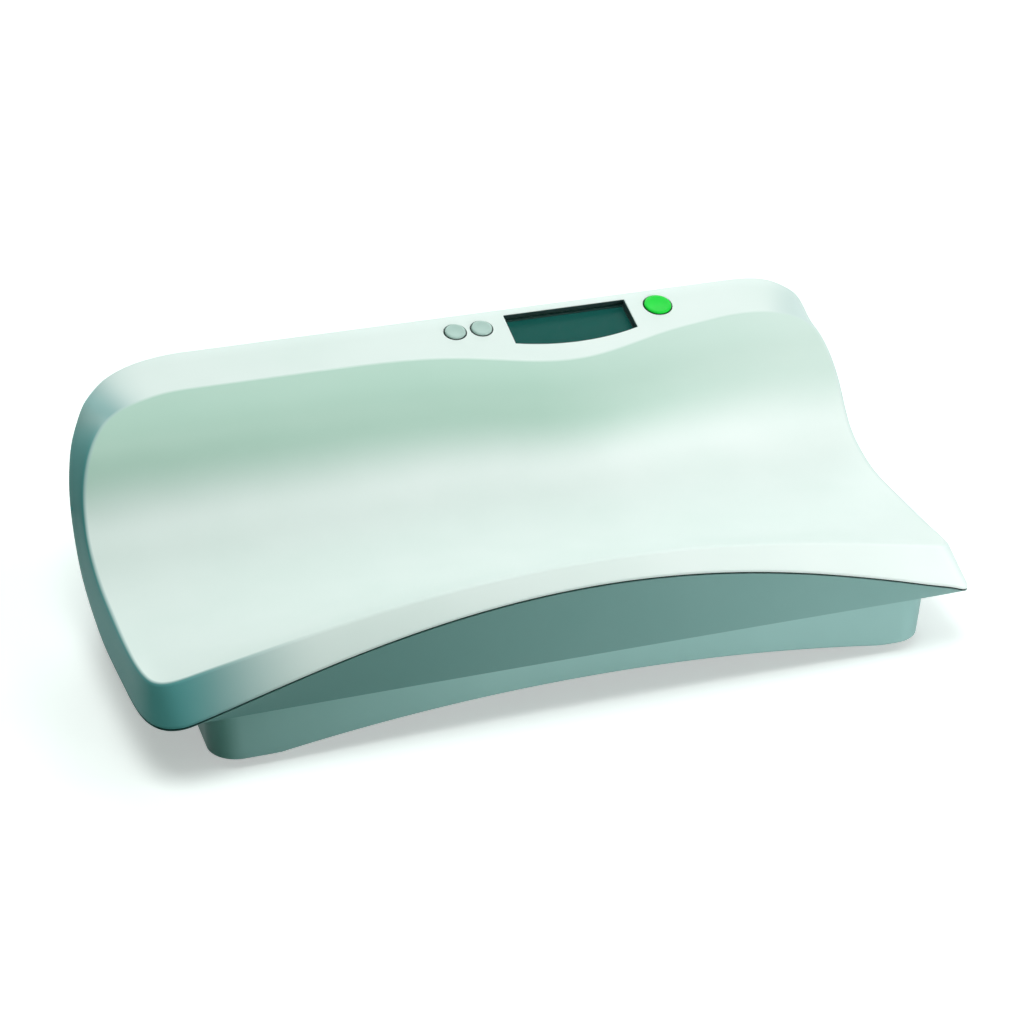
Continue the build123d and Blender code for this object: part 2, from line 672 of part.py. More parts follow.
with BuildPart() as housing_screws:
    with BuildSketch(Plane.XY.offset(TOWER_TOP_Z - SCREW_GRIP)):
        with Locations(*TOWERS):
            Circle(SCREW_R)
    extrude(amount=SCREW_GRIP + SCREW_BITE)
    with BuildSketch(Plane.XY.offset(TOWER_TOP_Z - SCREW_GRIP)):
        with Locations(*TOWERS):
            Circle(SCREW_HEAD_R)
    extrude(amount=-SCREW_HEAD_H)
    with BuildSketch(Plane.XY.offset(TOWER_TOP_Z - SCREW_GRIP - SCREW_HEAD_H)):
        for place in TOWERS:
            with Locations(place):
                Rectangle(SCREW_HEAD_R, SCREW_HEAD_R / 4)
                Rectangle(SCREW_HEAD_R / 4, SCREW_HEAD_R)
    extrude(amount=SCREW_HEAD_H / 2, mode=Mode.SUBTRACT)
save(housing_screws.part, "housing_screws")

# ---------------------------------------------------------------- feet and load cells
for corner, (x, y) in FEET.items():
    turn = 1 if x < BASE_CENTRE_X else -1

    with BuildPart() as foot_pad:
        with BuildSketch(Plane.XY):
            with Locations((x, y)):
                Circle(PAD_R)
        extrude(amount=PAD_H)
        chamfer(edges().group_by(Axis.Z)[0], PAD_H / 4)
    save(foot_pad.part, f"foot_pad_{corner}")

    with BuildPart() as foot_cup:
        with BuildSketch(Plane.XY.offset(PAD_H)):
            with Locations((x, y)):
                Circle(CUP_R)
        extrude(amount=CUP_H)
        chamfer(edges().group_by(Axis.Z)[-1], PAD_H / 4)
        with BuildSketch(Plane.XY.offset(CUP_TOP_Z)):
            with Locations((x, y)):
                Circle(CUP_POST_R)
        extrude(amount=CELL_SEAT_Z - CUP_TOP_Z)
    save(foot_cup.part, f"foot_cup_{corner}")

    with BuildPart() as load_cell:
        with BuildSketch(Plane.XY.offset(CELL_SEAT_Z)):
            with Locations((x, y)):
                Rectangle(CELL_SIZE, CELL_SIZE)
                with GridLocations(2 * CELL_SCREW_AT, 2 * CELL_SCREW_AT, 2, 2):
                    Circle(CELL_SCREW_R + SCREW_GAP, mode=Mode.SUBTRACT)
                # a slot on three sides of the tongue
                with Locations((-turn * CELL_TONGUE / 2, 0)):
                    Rectangle(CELL_SLOT, CELL_TONGUE + CELL_SLOT, mode=Mode.SUBTRACT)
                with Locations((0, CELL_TONGUE / 2), (0, -CELL_TONGUE / 2)):
                    Rectangle(CELL_TONGUE, CELL_SLOT, mode=Mode.SUBTRACT)
        extrude(amount=CELL_T)
    save(load_cell.part, f"load_cell_{corner}")

with BuildPart() as gauge_covers:
    for x, y in FEET.values():
        turn = 1 if x < BASE_CENTRE_X else -1
        with BuildSketch(Plane.XY.offset(CELL_SEAT_Z + CELL_T)):
            with Locations((x + turn * CELL_TONGUE / 2, y)):
                RectangleRounded(CELL_TONGUE / 2, CELL_TONGUE / 2, CELL_TONGUE / 8)
        extrude(amount=GAUGE_T)
save(gauge_covers.part, "gauge_covers")

with BuildPart() as load_cell_screws:
    for place in FEET.values():
        with BuildSketch(Plane.XY.offset(CELL_SEAT_Z + CELL_T)):
            with Locations(place):
                with GridLocations(2 * CELL_SCREW_AT, 2 * CELL_SCREW_AT, 2, 2):
                    Circle(CELL_SCREW_R)
        extrude(amount=-(CELL_T + CELL_SCREW_L))
        with BuildSketch(Plane.XY.offset(CELL_SEAT_Z + CELL_T)):
            with Locations(place):
                with GridLocations(2 * CELL_SCREW_AT, 2 * CELL_SCREW_AT, 2, 2):
                    Circle(2 * CELL_SCREW_R)
        extrude(amount=CELL_SCREW_R)
save(load_cell_screws.part, "load_cell_screws")

# ---------------------------------------------------------------- display
with BuildPart() as window_gasket:
    with BuildSketch(console.offset(-GASKET_DEPTH)):
        add(window_sketch(WINDOW_LAP))
        add(window_sketch(WINDOW_LAP - GASKET_W), mode=Mode.SUBTRACT)
    extrude(amount=-GASKET_T)
save(window_gasket.part, "window_gasket")

with BuildPart() as display_window:
    with BuildSketch(console.offset(-WINDOW_DEPTH)):
        add(window_sketch(WINDOW_LAP))
    extrude(amount=-WINDOW_T)
save(display_window.part, "display_window")

with BuildPart() as display_carrier:
    with BuildSketch(console.offset(-CARRIER_DEPTH)):
        with Locations((WINDOW_MID_X, GLASS_MID_V)):
            margin = 2 * (GLASS_FIT + CARRIER_WALL)
            Rectangle(GLASS_W + margin, GLASS_D + margin)
            Rectangle(GLASS_W + 2 * GLASS_FIT, GLASS_D + 2 * GLASS_FIT, mode=Mode.SUBTRACT)
    extrude(amount=-(BOARD_DEPTH - CARRIER_DEPTH))
save(display_carrier.part, "display_carrier")

with BuildPart() as display_glass:
    with BuildSketch(console.offset(-GLASS_DEPTH)):
        with Locations((WINDOW_MID_X, GLASS_MID_V)):
            Rectangle(GLASS_W, GLASS_D)
    extrude(amount=-GLASS_T)
save(display_glass.part, "display_glass")

with BuildPart() as contact_strips:
    with BuildSketch(console.offset(-STRIP_DEPTH)):
        with Locations((WINDOW_MID_X, GLASS_MID_V)):
            with GridLocations(0, GLASS_D - STRIP_W, 1, 2):
                Rectangle(GLASS_W, STRIP_W)
    extrude(amount=-(BOARD_DEPTH - STRIP_DEPTH))
save(contact_strips.part, "contact_strips")

with BuildPart() as display_board:
    left_x = BOARD_BOSSES[0][0] - BOARD_END
    right_x = BOARD_BOSSES[-1][0] + BOARD_END
    strip_d = BUTTON_ROW + 15.0 + BOARD_END - BOARD_BACK
    wide_d = GLASS_FRONT + GLASS_FIT + CARRIER_WALL - BOARD_BACK
    with BuildSketch(console.offset(-BOARD_DEPTH)):
        with Locations(((left_x + right_x) / 2, -BOARD_BACK - strip_d / 2)):
            Rectangle(right_x - left_x, strip_d)
        with Locations((WINDOW_MID_X, -BOARD_BACK - wide_d / 2)):
            Rectangle(GLASS_W + 2 * (GLASS_FIT + CARRIER_WALL), wide_d)
        with Locations(*BOARD_BOSSES):
            Circle(BOARD_SCREW_R + SCREW_GAP, mode=Mode.SUBTRACT)
    extrude(amount=-BOARD_T)
save(display_board.part, "display_board")

with BuildPart() as display_board_screws:
    with BuildSketch(console.offset(-BOARD_DEPTH - BOARD_T)):
        with Locations(*BOARD_BOSSES):
            Circle(BOARD_SCREW_R)
    extrude(amount=BOARD_T + BOARD_SCREW_BITE)
    with BuildSketch(console.offset(-BOARD_DEPTH - BOARD_T)):
        with Locations(*BOARD_BOSSES):
            Circle(BOARD_SCREW_HEAD_R)
    extrude(amount=-BOARD_SCREW_HEAD_H)
save(display_board_screws.part, "display_board_screws")

CHIP = 14.0
BEEPER_R = 6.0
BEEPER_H = 5.0
SIGNAL_HEADER = (HOLD_X - 6.0, -BOARD_BACK - 12.0)
with BuildPart() as display_components:
    with BuildSketch(console.offset(-BOARD_DEPTH - BOARD_T)):
        with Locations((WINDOW_MID_X, GLASS_MID_V)):
            Rectangle(CHIP, CHIP)
        with Locations((WINDOW_MID_X + 2 * CHIP, GLASS_MID_V)):
            Rectangle(CHIP / 2, CHIP / 2)
    extrude(amount=-BOARD_T)
    with BuildSketch(console.offset(-BOARD_DEPTH - BOARD_T)):
        with Locations((WINDOW_MID_X - 2 * CHIP, GLASS_MID_V)):
            Circle(BEEPER_R)
    extrude(amount=-BEEPER_H)
    with BuildSketch(console.offset(-BOARD_DEPTH - BOARD_T)):
        with Locations(SIGNAL_HEADER):
            Rectangle(HEADER_L, HEADER_W)
    extrude(amount=-HEADER_H)
save(display_components.part, "display_components")

# ---------------------------------------------------------------- buttons
with BuildPart() as key_switches:
    for x, radius in BUTTONS.values():
        with BuildSketch(console.offset(-BOARD_DEPTH)):
            with Locations((x, -BUTTON_ROW)):
                Rectangle(SWITCH_SIZE, SWITCH_SIZE)
        extrude(amount=SWITCH_H)
        with BuildSketch(console.offset(-SWITCH_TOP)):
            with Locations((x, -BUTTON_ROW)):
                Circle(BUTTON_TIP_R + SWITCH_FIT)
        extrude(amount=-SWITCH_WELL, mode=Mode.SUBTRACT)
save(key_switches.part, "key_switches")

for name, (x, radius) in BUTTONS.items():
    flange_depth = WALL + BUTTON_GAP
    shoulder_depth = SWITCH_TOP - BUTTON_TRAVEL - BUTTON_GAP
    tip_depth = SWITCH_TOP + SWITCH_WELL - BUTTON_TRAVEL - BUTTON_GAP
    with BuildPart() as button:
        with BuildSketch(console.offset(BUTTON_PROUD)):
            with Locations((x, -BUTTON_ROW)):
                Circle(radius)
        extrude(amount=-(BUTTON_PROUD + flange_depth))
        chamfer(edges().sort_by(Axis((0, 0, 0), console.z_dir))[-1], BUTTON_PROUD / 3)
        with BuildSketch(console.offset(-flange_depth)):
            with Locations((x, -BUTTON_ROW)):
                Circle(radius + BUTTON_FLANGE)
        extrude(amount=-BUTTON_FLANGE_T)
        with BuildSketch(console.offset(-flange_depth - BUTTON_FLANGE_T)):
            with Locations((x, -BUTTON_ROW)):
                Circle(BUTTON_STEM_R)
        extrude(amount=-(shoulder_depth - flange_depth - BUTTON_FLANGE_T))
        with BuildSketch(console.offset(-shoulder_depth)):
            with Locations((x, -BUTTON_ROW)):
                Circle(BUTTON_TIP_R)
        extrude(amount=-(tip_depth - shoulder_depth))
    save(button.part, name)

# ---------------------------------------------------------------- batteries
with BuildPart() as battery_case:
    with BuildSketch(Plane.XY.offset(FRAME_TOP_Z)):
        with Locations((BATTERY_X, BATTERY_Y)):
            Rectangle(BATTERY_SPAN_X + 2 * CASE_WALL, BATTERY_SPAN_Y + 2 * CASE_WALL)
    extrude(amount=CASE_TOP_Z - FRAME_TOP_Z)
    with BuildSketch(Plane.XY.offset(FRAME_TOP_Z)):
        with Locations((BATTERY_X, BATTERY_Y)):
            Rectangle(BATTERY_SPAN_X, BATTERY_SPAN_Y)
    extrude(amount=CASE_TOP_Z - FRAME_TOP_Z - CASE_WALL, mode=Mode.SUBTRACT)
save(battery_case.part, "battery_case")

BATTERY_PLACES = [BATTERY_X + BATTERY_PITCH * (index - (BATTERY_COUNT - 1) / 2) for index in range(BATTERY_COUNT)]
for index, x in enumerate(BATTERY_PLACES, start=1):
    with BuildPart() as battery:
        with BuildSketch(Plane.XZ.offset(-BATTERY_Y)):
            with Locations((x, BATTERY_Z)):
                Circle(BATTERY_R)
        extrude(amount=BATTERY_L / 2, both=True)
        chamfer(edges().filter_by(GeomType.CIRCLE), BATTERY_GAP)
    save(battery.part, f"battery_{index}")

with BuildPart() as battery_contacts:
    for side in (-1, 1):
        wall_y = BATTERY_Y + side * BATTERY_SPAN_Y / 2
        for x in BATTERY_PLACES:
            with BuildSketch(Plane.XZ.offset(-wall_y)):
                with Locations((x, BATTERY_Z)):
                    Rectangle(CONTACT_W, CONTACT_W)
            extrude(amount=side * CONTACT_T)
            with BuildSketch(Plane.XZ.offset(-wall_y + side * CONTACT_T)):
                with Locations((x, BATTERY_Z)):
                    Circle(CONTACT_W / 4)
            extrude(amount=side * CONTACT_DIMPLE)
save(battery_contacts.part, "battery_contacts")

with BuildPart() as battery_door:
    with BuildSketch(Plane.YZ.offset(BATTERY_X)):
        with BuildLine():
            front_y = BATTERY_Y - DOOR_SPAN_Y / 2
            top_z = FRAME_Z + DOOR_T
            Polyline((HINGE_Y, FRAME_Z), (front_y, FRAME_Z), (front_y, top_z), (HINGE_Y, top_z))
            ThreePointArc((HINGE_Y, top_z), (HINGE_Y + DOOR_T / 2, HINGE_Z), (HINGE_Y, FRAME_Z))
        make_face()
    extrude(amount=DOOR_SPAN_X / 2, both=True)
    with BuildSketch(Plane.YZ.offset(BATTERY_X)):
        with Locations((HINGE_Y, HINGE_Z)):
            Circle(HINGE_PIN_R)
    extrude(amount=DOOR_SPAN_X / 2 + HINGE_PIN_L, both=True)
    # a finger scoop at the edge that opens
    with BuildSketch(Plane.XY.offset(FRAME_Z)):
        with Locations((BATTERY_X, front_y)):
            SlotOverall(DOOR_SPAN_X / 4, DOOR_LEDGE)
    extrude(amount=DOOR_T / 2, mode=Mode.SUBTRACT)
save(battery_door.part, "battery_door")

# ---------------------------------------------------------------- junction board
with BuildPart() as junction_board:
    with BuildSketch(Plane.XY.offset(JUNCTION_Z)):
        with Locations((JUNCTION_X, JUNCTION_Y)):
            Rectangle(JUNCTION_L, JUNCTION_W)
            with GridLocations(*JUNCTION_POSTS):
                Circle(BOARD_SCREW_R + SCREW_GAP, mode=Mode.SUBTRACT)
    extrude(amount=BOARD_T)
save(junction_board.part, "junction_board")

with BuildPart() as junction_board_screws:
    with BuildSketch(Plane.XY.offset(JUNCTION_Z + BOARD_T)):
        with Locations((JUNCTION_X, JUNCTION_Y)):
            with GridLocations(*JUNCTION_POSTS):
                Circle(BOARD_SCREW_R)
    extrude(amount=-(BOARD_T + BOARD_SCREW_BITE))
    with BuildSketch(Plane.XY.offset(JUNCTION_Z + BOARD_T)):
        with Locations((JUNCTION_X, JUNCTION_Y)):
            with GridLocations(*JUNCTION_POSTS):
                Circle(BOARD_SCREW_HEAD_R)
    extrude(amount=BOARD_SCREW_HEAD_H)
save(junction_board_screws.part, "junction_board_screws")

BOARD_TOP_Z = JUNCTION_Z + BOARD_T
HEADER_Z = BOARD_TOP_Z + HEADER_H / 2
LEFT_EDGE = JUNCTION_X - JUNCTION_L / 2 + HEADER_W / 2
RIGHT_EDGE = JUNCTION_X + JUNCTION_L / 2 - HEADER_W / 2
HEADER_PITCH = 9.0
HEADERS = {
    "front_left": (LEFT_EDGE, JUNCTION_Y - HEADER_PITCH),
    "battery": (LEFT_EDGE, JUNCTION_Y),
    "rear_left": (LEFT_EDGE, JUNCTION_Y + HEADER_PITCH),
    "front_right": (RIGHT_EDGE, JUNCTION_Y - HEADER_PITCH / 2),
    "rear_right": (RIGHT_EDGE, JUNCTION_Y + HEADER_PITCH / 2),
    "signal": (JUNCTION_X, JUNCTION_Y + JUNCTION_W / 2 - HEADER_W / 2),
}
with BuildPart() as junction_components:
    for name, (x, y) in HEADERS.items():
        across = name == "signal"
        with BuildSketch(Plane.XY.offset(BOARD_TOP_Z)):
            with Locations((x, y)):
                Rectangle(HEADER_L if across else HEADER_W, HEADER_W if across else HEADER_L)
        extrude(amount=HEADER_H)
    with BuildSketch(Plane.XY.offset(BOARD_TOP_Z)):
        with Locations((JUNCTION_X, JUNCTION_Y)):
            Rectangle(CHIP, CHIP / 2)
    extrude(amount=BOARD_T)
save(junction_components.part, "junction_components")

# ---------------------------------------------------------------- wires
CELL_WIRE_TURNS = {
    "front_left": [(-150, -108), (-108, -88), (-62, -70), (-10, -62), (40, -61), (64, -48)],
    "rear_left": [(-150, 72), (-108, 58), (-62, 41), (-10, 32), (46, 33), (68, 8)],
    "front_right": [(180, -102), (173, -70), (169, -44)],
    "rear_right": [(180, 64), (173, 30), (169, -2)],
}
for corner, turns in CELL_WIRE_TURNS.items():
    foot_x, foot_y = FEET[corner]
    header_x, header_y = HEADERS[corner]
    turn = 1 if foot_x < BASE_CENTRE_X else -1
    face_x = header_x - turn * HEADER_W / 2
    start = (foot_x + turn * CELL_SIZE / 2, foot_y, CELL_SEAT_Z + CELL_T / 2)
    clear_of_boss = (start[0] + turn * (CELL_BOSS_R - CELL_SIZE / 2 + 1), *start[1:])
    middle = [clear_of_boss] + [(x, y, floor_z(x) + 2 * CELL_WIRE_R) for x, y in turns]
    finish = [(face_x - turn * HEADER_L, header_y, HEADER_Z), (face_x, header_y, HEADER_Z)]
    save(cable([start] + middle + finish, CELL_WIRE_R), f"load_cell_wire_{corner}")

LEAD_APART = 3.2
case_x = BATTERY_X + BATTERY_SPAN_X / 2 + CASE_WALL
face_x, face_y = HEADERS["battery"][0] - HEADER_W / 2, HEADERS["battery"][1]
with BuildPart() as battery_leads:
    for side in (-1, 1):
        shift = side * LEAD_APART / 2
        lead = [
            (case_x, BATTERY_Y - 4 + shift, BATTERY_Z),
            (case_x + 12, BATTERY_Y - 4 + shift, BATTERY_Z),
            (face_x - 14, face_y + shift, HEADER_Z),
            (face_x, face_y + shift, HEADER_Z),
        ]
        add(cable(lead, LEAD_R))
save(battery_leads.part, "battery_leads")

signal_x, signal_y = HEADERS["signal"]
header_face = -BOARD_DEPTH - BOARD_T - HEADER_H
signal_end = console.from_local_coords((*SIGNAL_HEADER, header_face))
signal_near = console.from_local_coords((*SIGNAL_HEADER, header_face - 2 * HEADER_H))
signal_turns = [(104, 40, 33), (72, 72, 37), (40, 93, 54), (24, 110, 78), (18, 126, 99)]
signal_route = [
    (signal_x, signal_y + HEADER_W / 2, HEADER_Z),
    (signal_x, signal_y + HEADER_W / 2 + 12, HEADER_Z),
    *signal_turns,
    tuple(signal_near),
    tuple(signal_end),
]
save(cable(signal_route, SIGNAL_R), "signal_cable")
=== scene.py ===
"""Looks of a digital baby weighing scale: a moulded cradle on a base that stands on four load cells.

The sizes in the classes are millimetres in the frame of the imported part: X along the tray, Y from the
front lip to the console, Z up. They become metres where the meshes are placed.
"""

import logging
import math
from dataclasses import dataclass, field
from enum import Enum
from functools import lru_cache

import bmesh
import bpy
import numpy as np
from mathutils import Matrix, Vector


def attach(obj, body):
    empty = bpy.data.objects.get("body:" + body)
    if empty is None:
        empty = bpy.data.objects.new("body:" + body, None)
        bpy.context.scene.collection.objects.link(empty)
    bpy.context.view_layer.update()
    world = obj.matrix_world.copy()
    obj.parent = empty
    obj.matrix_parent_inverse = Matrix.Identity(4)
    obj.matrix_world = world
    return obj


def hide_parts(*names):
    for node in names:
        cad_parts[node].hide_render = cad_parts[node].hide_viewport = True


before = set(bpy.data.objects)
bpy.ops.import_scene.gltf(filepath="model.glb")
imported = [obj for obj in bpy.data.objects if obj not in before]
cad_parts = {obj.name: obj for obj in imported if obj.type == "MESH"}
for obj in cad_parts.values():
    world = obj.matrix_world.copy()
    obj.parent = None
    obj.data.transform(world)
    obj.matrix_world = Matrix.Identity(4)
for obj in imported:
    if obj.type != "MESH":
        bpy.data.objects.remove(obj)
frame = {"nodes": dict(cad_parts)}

LOG = logging.getLogger("weighing_scale")
MM = 0.001
SIDES = 64                      # sides round keys, feet and their openings
SCREW_SIDES = 32                # sides round screw holes and their sleeves


class Body(Enum):
    """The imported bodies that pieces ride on."""

    SCALE = "scale"
    NET = "net_button"
    HOLD = "hold_button"
    START = "start_button"
    DOOR = "battery_door"


# ---------------------------------------------------------------- material tools
def linear(colour: str) -> tuple[float, float, float, float]:
    """Turns an sRGB hex colour to linear.

    Args:
        colour: Six hex digits after a hash.

    Returns:
        Linear red, green, blue and an alpha of one.
    """
    parts = [int(colour[at : at + 2], 16) / 255 for at in (1, 3, 5)]
    turned = [p / 12.92 if p <= 0.04045 else ((p + 0.055) / 1.055) ** 2.4 for p in parts]
    return (*turned, 1.0)


def add_node(
    tree: bpy.types.NodeTree, kind: str, settings: dict | None = None, inputs: dict | None = None
) -> bpy.types.Node:
    """Adds a node with its settings, socket values and links.

    Args:
        tree: The tree that gets the node.
        kind: The node's type name.
        settings: Values of its own properties.
        inputs: Values or output sockets, by the name or place of the input socket.

    Returns:
        The new node.
    """
    node = tree.nodes.new(kind)
    for name, value in (settings or {}).items():
        setattr(node, name, value)
    for name, value in (inputs or {}).items():
        if isinstance(value, bpy.types.NodeSocket):
            tree.links.new(value, node.inputs[name])
        else:
            node.inputs[name].default_value = value
    return node


def open_tree(owner: bpy.types.Material | bpy.types.World) -> bpy.types.NodeTree:
    """Switches on the nodes of a material or a world and clears them.

    Args:
        owner: The material or the world.

    Returns:
        Its empty tree.
    """
    owner.use_nodes = True
    owner.node_tree.nodes.clear()
    return owner.node_tree


def open_material(name: str) -> tuple[bpy.types.Material, bpy.types.NodeTree, bpy.types.Node]:
    """Makes a material with a bare Principled shader.

    Args:
        name: The material's name.

    Returns:
        The material, its tree and the shader node.
    """
    material = bpy.data.materials.new(name)
    tree = open_tree(material)
    shader = add_node(tree, "ShaderNodeBsdfPrincipled")
    add_node(tree, "ShaderNodeOutputMaterial", {}, {"Surface": shader.outputs[0]})
    return material, tree, shader


def blend_colours(
    tree: bpy.types.NodeTree, share: object, first: object, second: object
) -> bpy.types.NodeSocket:
    """Mixes two colours by a share.

    Args:
        tree: The tree that gets the mix.
        share: Number or socket, zero for the first colour.
        first: Colour or socket.
        second: Colour or socket.

    Returns:
        The mixed colour's socket.
    """
    mix = add_node(tree, "ShaderNodeMix", {"data_type": "RGBA"}, {0: share, 6: first, 7: second})
    return mix.outputs[2]


def end_background(
    tree: bpy.types.NodeTree, output: str, lighting: bpy.types.Node, seen: bpy.types.Node
) -> None:
    """Ends a tree with one shader for the light that it gives and one for where it is seen.

    It is seen by the camera, in a reflection or through glass.

    Args:
        tree: The tree that gets the nodes.
        output: Type name of the output node.
        lighting: Shader for the light that it gives.
        seen: Shader for where it is seen.
    """
    path = add_node(tree, "ShaderNodeLightPath").outputs
    share = path["Is Camera Ray"]
    for ray in ("Is Glossy Ray", "Is Transmission Ray"):
        most = add_node(tree, "ShaderNodeMath", {"operation": "MAXIMUM"}, {0: share, 1: path[ray]})
        share = most.outputs[0]
    pick = add_node(tree, "ShaderNodeMixShader", {}, {0: share, 1: lighting.outputs[0], 2: seen.outputs[0]})
    add_node(tree, output, {}, {"Surface": pick.outputs[0]})


@dataclass(frozen=True)
class MouldedPlastic:
    """ABS from a spark-eroded mould: satin, with a fine even grain that breaks up reflections."""

    name: str
    colour: str
    deep: str                   # what the slow unevenness of the melt leans to
    shaded: str = ""            # painted shade: colour where the mesh's shaded attribute is one
    sunken: str = ""            # painted shade in hollows: colour where its sunken attribute is one
    roughness: float = 0.42
    grain: float = 0.9          # drawn coarser than the real 0.1 mm, so that it shows
    grain_height: float = 0.012
    flow: float = 70.0          # size of the slow unevenness
    shine: float = 0.5          # strength of the reflections

    def material(self) -> bpy.types.Material:
        """Builds the material.

        Returns:
            The finished material.
        """
        material, tree, shader = open_material(self.name)
        place = add_node(tree, "ShaderNodeTexCoord").outputs["Object"]
        flow = add_node(
            tree, "ShaderNodeTexNoise", {}, {"Vector": place, "Scale": 1 / (self.flow * MM), "Detail": 2.0}
        )
        soft = add_node(
            tree, "ShaderNodeMapRange", {}, {"Value": flow.outputs[0], "From Min": 0.3, "From Max": 0.7}
        )
        colour = blend_colours(tree, soft.outputs[0], linear(self.colour), linear(self.deep))
        # paints shade into the base colour where the mesh's painted-shade attributes are set
        for mark, tone in (("sunken", self.sunken), ("shaded", self.shaded)):
            if tone:
                share = add_node(tree, "ShaderNodeAttribute", {"attribute_name": mark})
                colour = blend_colours(tree, share.outputs["Fac"], colour, linear(tone))
        tree.links.new(colour, shader.inputs["Base Color"])
        grain = add_node(
            tree, "ShaderNodeTexNoise", {}, {"Vector": place, "Scale": 1 / (self.grain * MM), "Detail": 3.0}
        )
        gloss = add_node(
            tree,
            "ShaderNodeMapRange",
            {},
            {"Value": grain.outputs[0], "To Min": self.roughness - 0.05, "To Max": self.roughness + 0.07},
        )
        tree.links.new(gloss.outputs[0], shader.inputs["Roughness"])
        bump = add_node(
            tree,
            "ShaderNodeBump",
            {},
            {"Strength": 0.35, "Distance": self.grain_height * MM, "Height": grain.outputs[0]},
        )
        tree.links.new(bump.outputs[0], shader.inputs["Normal"])
        shader.inputs["IOR"].default_value = 1.53
        shader.inputs["Specular IOR Level"].default_value = self.shine
        return material


@dataclass(frozen=True)
class Rubber:
    """Moulded silicone rubber: dull, slightly dusty, with small pits."""

    name: str
    colour: str
    dust: str
    pits: float = 1.6
    roughness: float = 0.75

    def material(self) -> bpy.types.Material:
        """Builds the material.

        Returns:
            The finished material.
        """
        material, tree, shader = open_material(self.name)
        place = add_node(tree, "ShaderNodeTexCoord").outputs["Object"]
        pits = add_node(
            tree, "ShaderNodeTexNoise", {}, {"Vector": place, "Scale": 1 / (self.pits * MM), "Detail": 4.0}
        )
        share = add_node(
            tree, "ShaderNodeMapRange", {}, {"Value": pits.outputs[0], "From Min": 0.35, "From Max": 0.75}
        )
        colour = blend_colours(tree, share.outputs[0], linear(self.colour), linear(self.dust))
        tree.links.new(colour, shader.inputs["Base Color"])
        bump = add_node(
            tree, "ShaderNodeBump", {}, {"Strength": 0.4, "Distance": 0.05 * MM, "Height": pits.outputs[0]}
        )
        tree.links.new(bump.outputs[0], shader.inputs["Normal"])
        shader.inputs["Roughness"].default_value = self.roughness
        shader.inputs["IOR"].default_value = 1.41
        return material


@dataclass(frozen=True)
class BrushedMetal:
    """Rolled or plated metal: fine lines along X that stretch its highlights."""

    name: str
    colour: str
    worn: str
    line: float = 0.5           # spacing of the rolling lines, drawn coarse enough to show
    roughness: float = 0.32

    def material(self) -> bpy.types.Material:
        """Builds the material.

        Returns:
            The finished material.
        """
        material, tree, shader = open_material(self.name)
        place = add_node(tree, "ShaderNodeTexCoord").outputs["Object"]
        along = add_node(tree, "ShaderNodeMapping", {}, {"Vector": place, "Scale": (0.04, 1.0, 1.0)})
        lines = add_node(
            tree,
            "ShaderNodeTexNoise",
            {},
            {"Vector": along.outputs[0], "Scale": 1 / (self.line * MM), "Detail": 3.0},
        )
        colour = blend_colours(tree, lines.outputs[0], linear(self.colour), linear(self.worn))
        tree.links.new(colour, shader.inputs["Base Color"])
        gloss = add_node(
            tree,
            "ShaderNodeMapRange",
            {},
            {"Value": lines.outputs[0], "To Min": self.roughness - 0.1, "To Max": self.roughness + 0.12},
        )
        tree.links.new(gloss.outputs[0], shader.inputs["Roughness"])
        shader.inputs["Metallic"].default_value = 1.0
        return material


@dataclass(frozen=True)
class ClearPane:
    """Clear acrylic window: almost unseen, with a sharp reflection and a faint tint."""

    name: str
    tint: str
    haze: str
    cover: float = 0.10
    shine: float = 0.1          # coated against glare
    wipe: float = 18.0          # size of the uneven film that wiping leaves

    def material(self) -> bpy.types.Material:
        """Builds the material.

        Returns:
            The finished material.
        """
        material, tree, shader = open_material(self.name)
        place = add_node(tree, "ShaderNodeTexCoord").outputs["Object"]
        wipe = add_node(
            tree, "ShaderNodeTexNoise", {}, {"Vector": place, "Scale": 1 / (self.wipe * MM), "Detail": 2.0}
        )
        colour = blend_colours(tree, wipe.outputs[0], linear(self.tint), linear(self.haze))
        tree.links.new(colour, shader.inputs["Base Color"])
        shader.inputs["Alpha"].default_value = self.cover
        shader.inputs["Roughness"].default_value = 0.06
        shader.inputs["IOR"].default_value = 1.49
        shader.inputs["Specular IOR Level"].default_value = self.shine
        return material


@dataclass(frozen=True)
class LcdGlass:
    """Unlit LCD: dark polariser over faint upright electrode lines."""

    name: str
    colour: str
    line_colour: str
    line: float = 2.4           # spacing of the electrode lines
    period: float = 0.314       # of the wave texture, in metres at a scale of one
    roughness: float = 0.22

    def material(self) -> bpy.types.Material:
        """Builds the material.

        Returns:
            The finished material.
        """
        material, tree, shader = open_material(self.name)
        place = add_node(tree, "ShaderNodeTexCoord").outputs["Object"]
        lines = add_node(
            tree,
            "ShaderNodeTexWave",
            {"wave_type": "BANDS", "bands_direction": "X", "wave_profile": "SIN"},
            {"Vector": place, "Scale": self.period / (self.line * MM), "Distortion": 0.0},
        )
        colour = blend_colours(tree, lines.outputs[0], linear(self.colour), linear(self.line_colour))
        tree.links.new(colour, shader.inputs["Base Color"])
        shader.inputs["Roughness"].default_value = self.roughness
        shader.inputs["IOR"].default_value = 1.5
        shader.inputs["Specular IOR Level"].default_value = 0.08
        return material


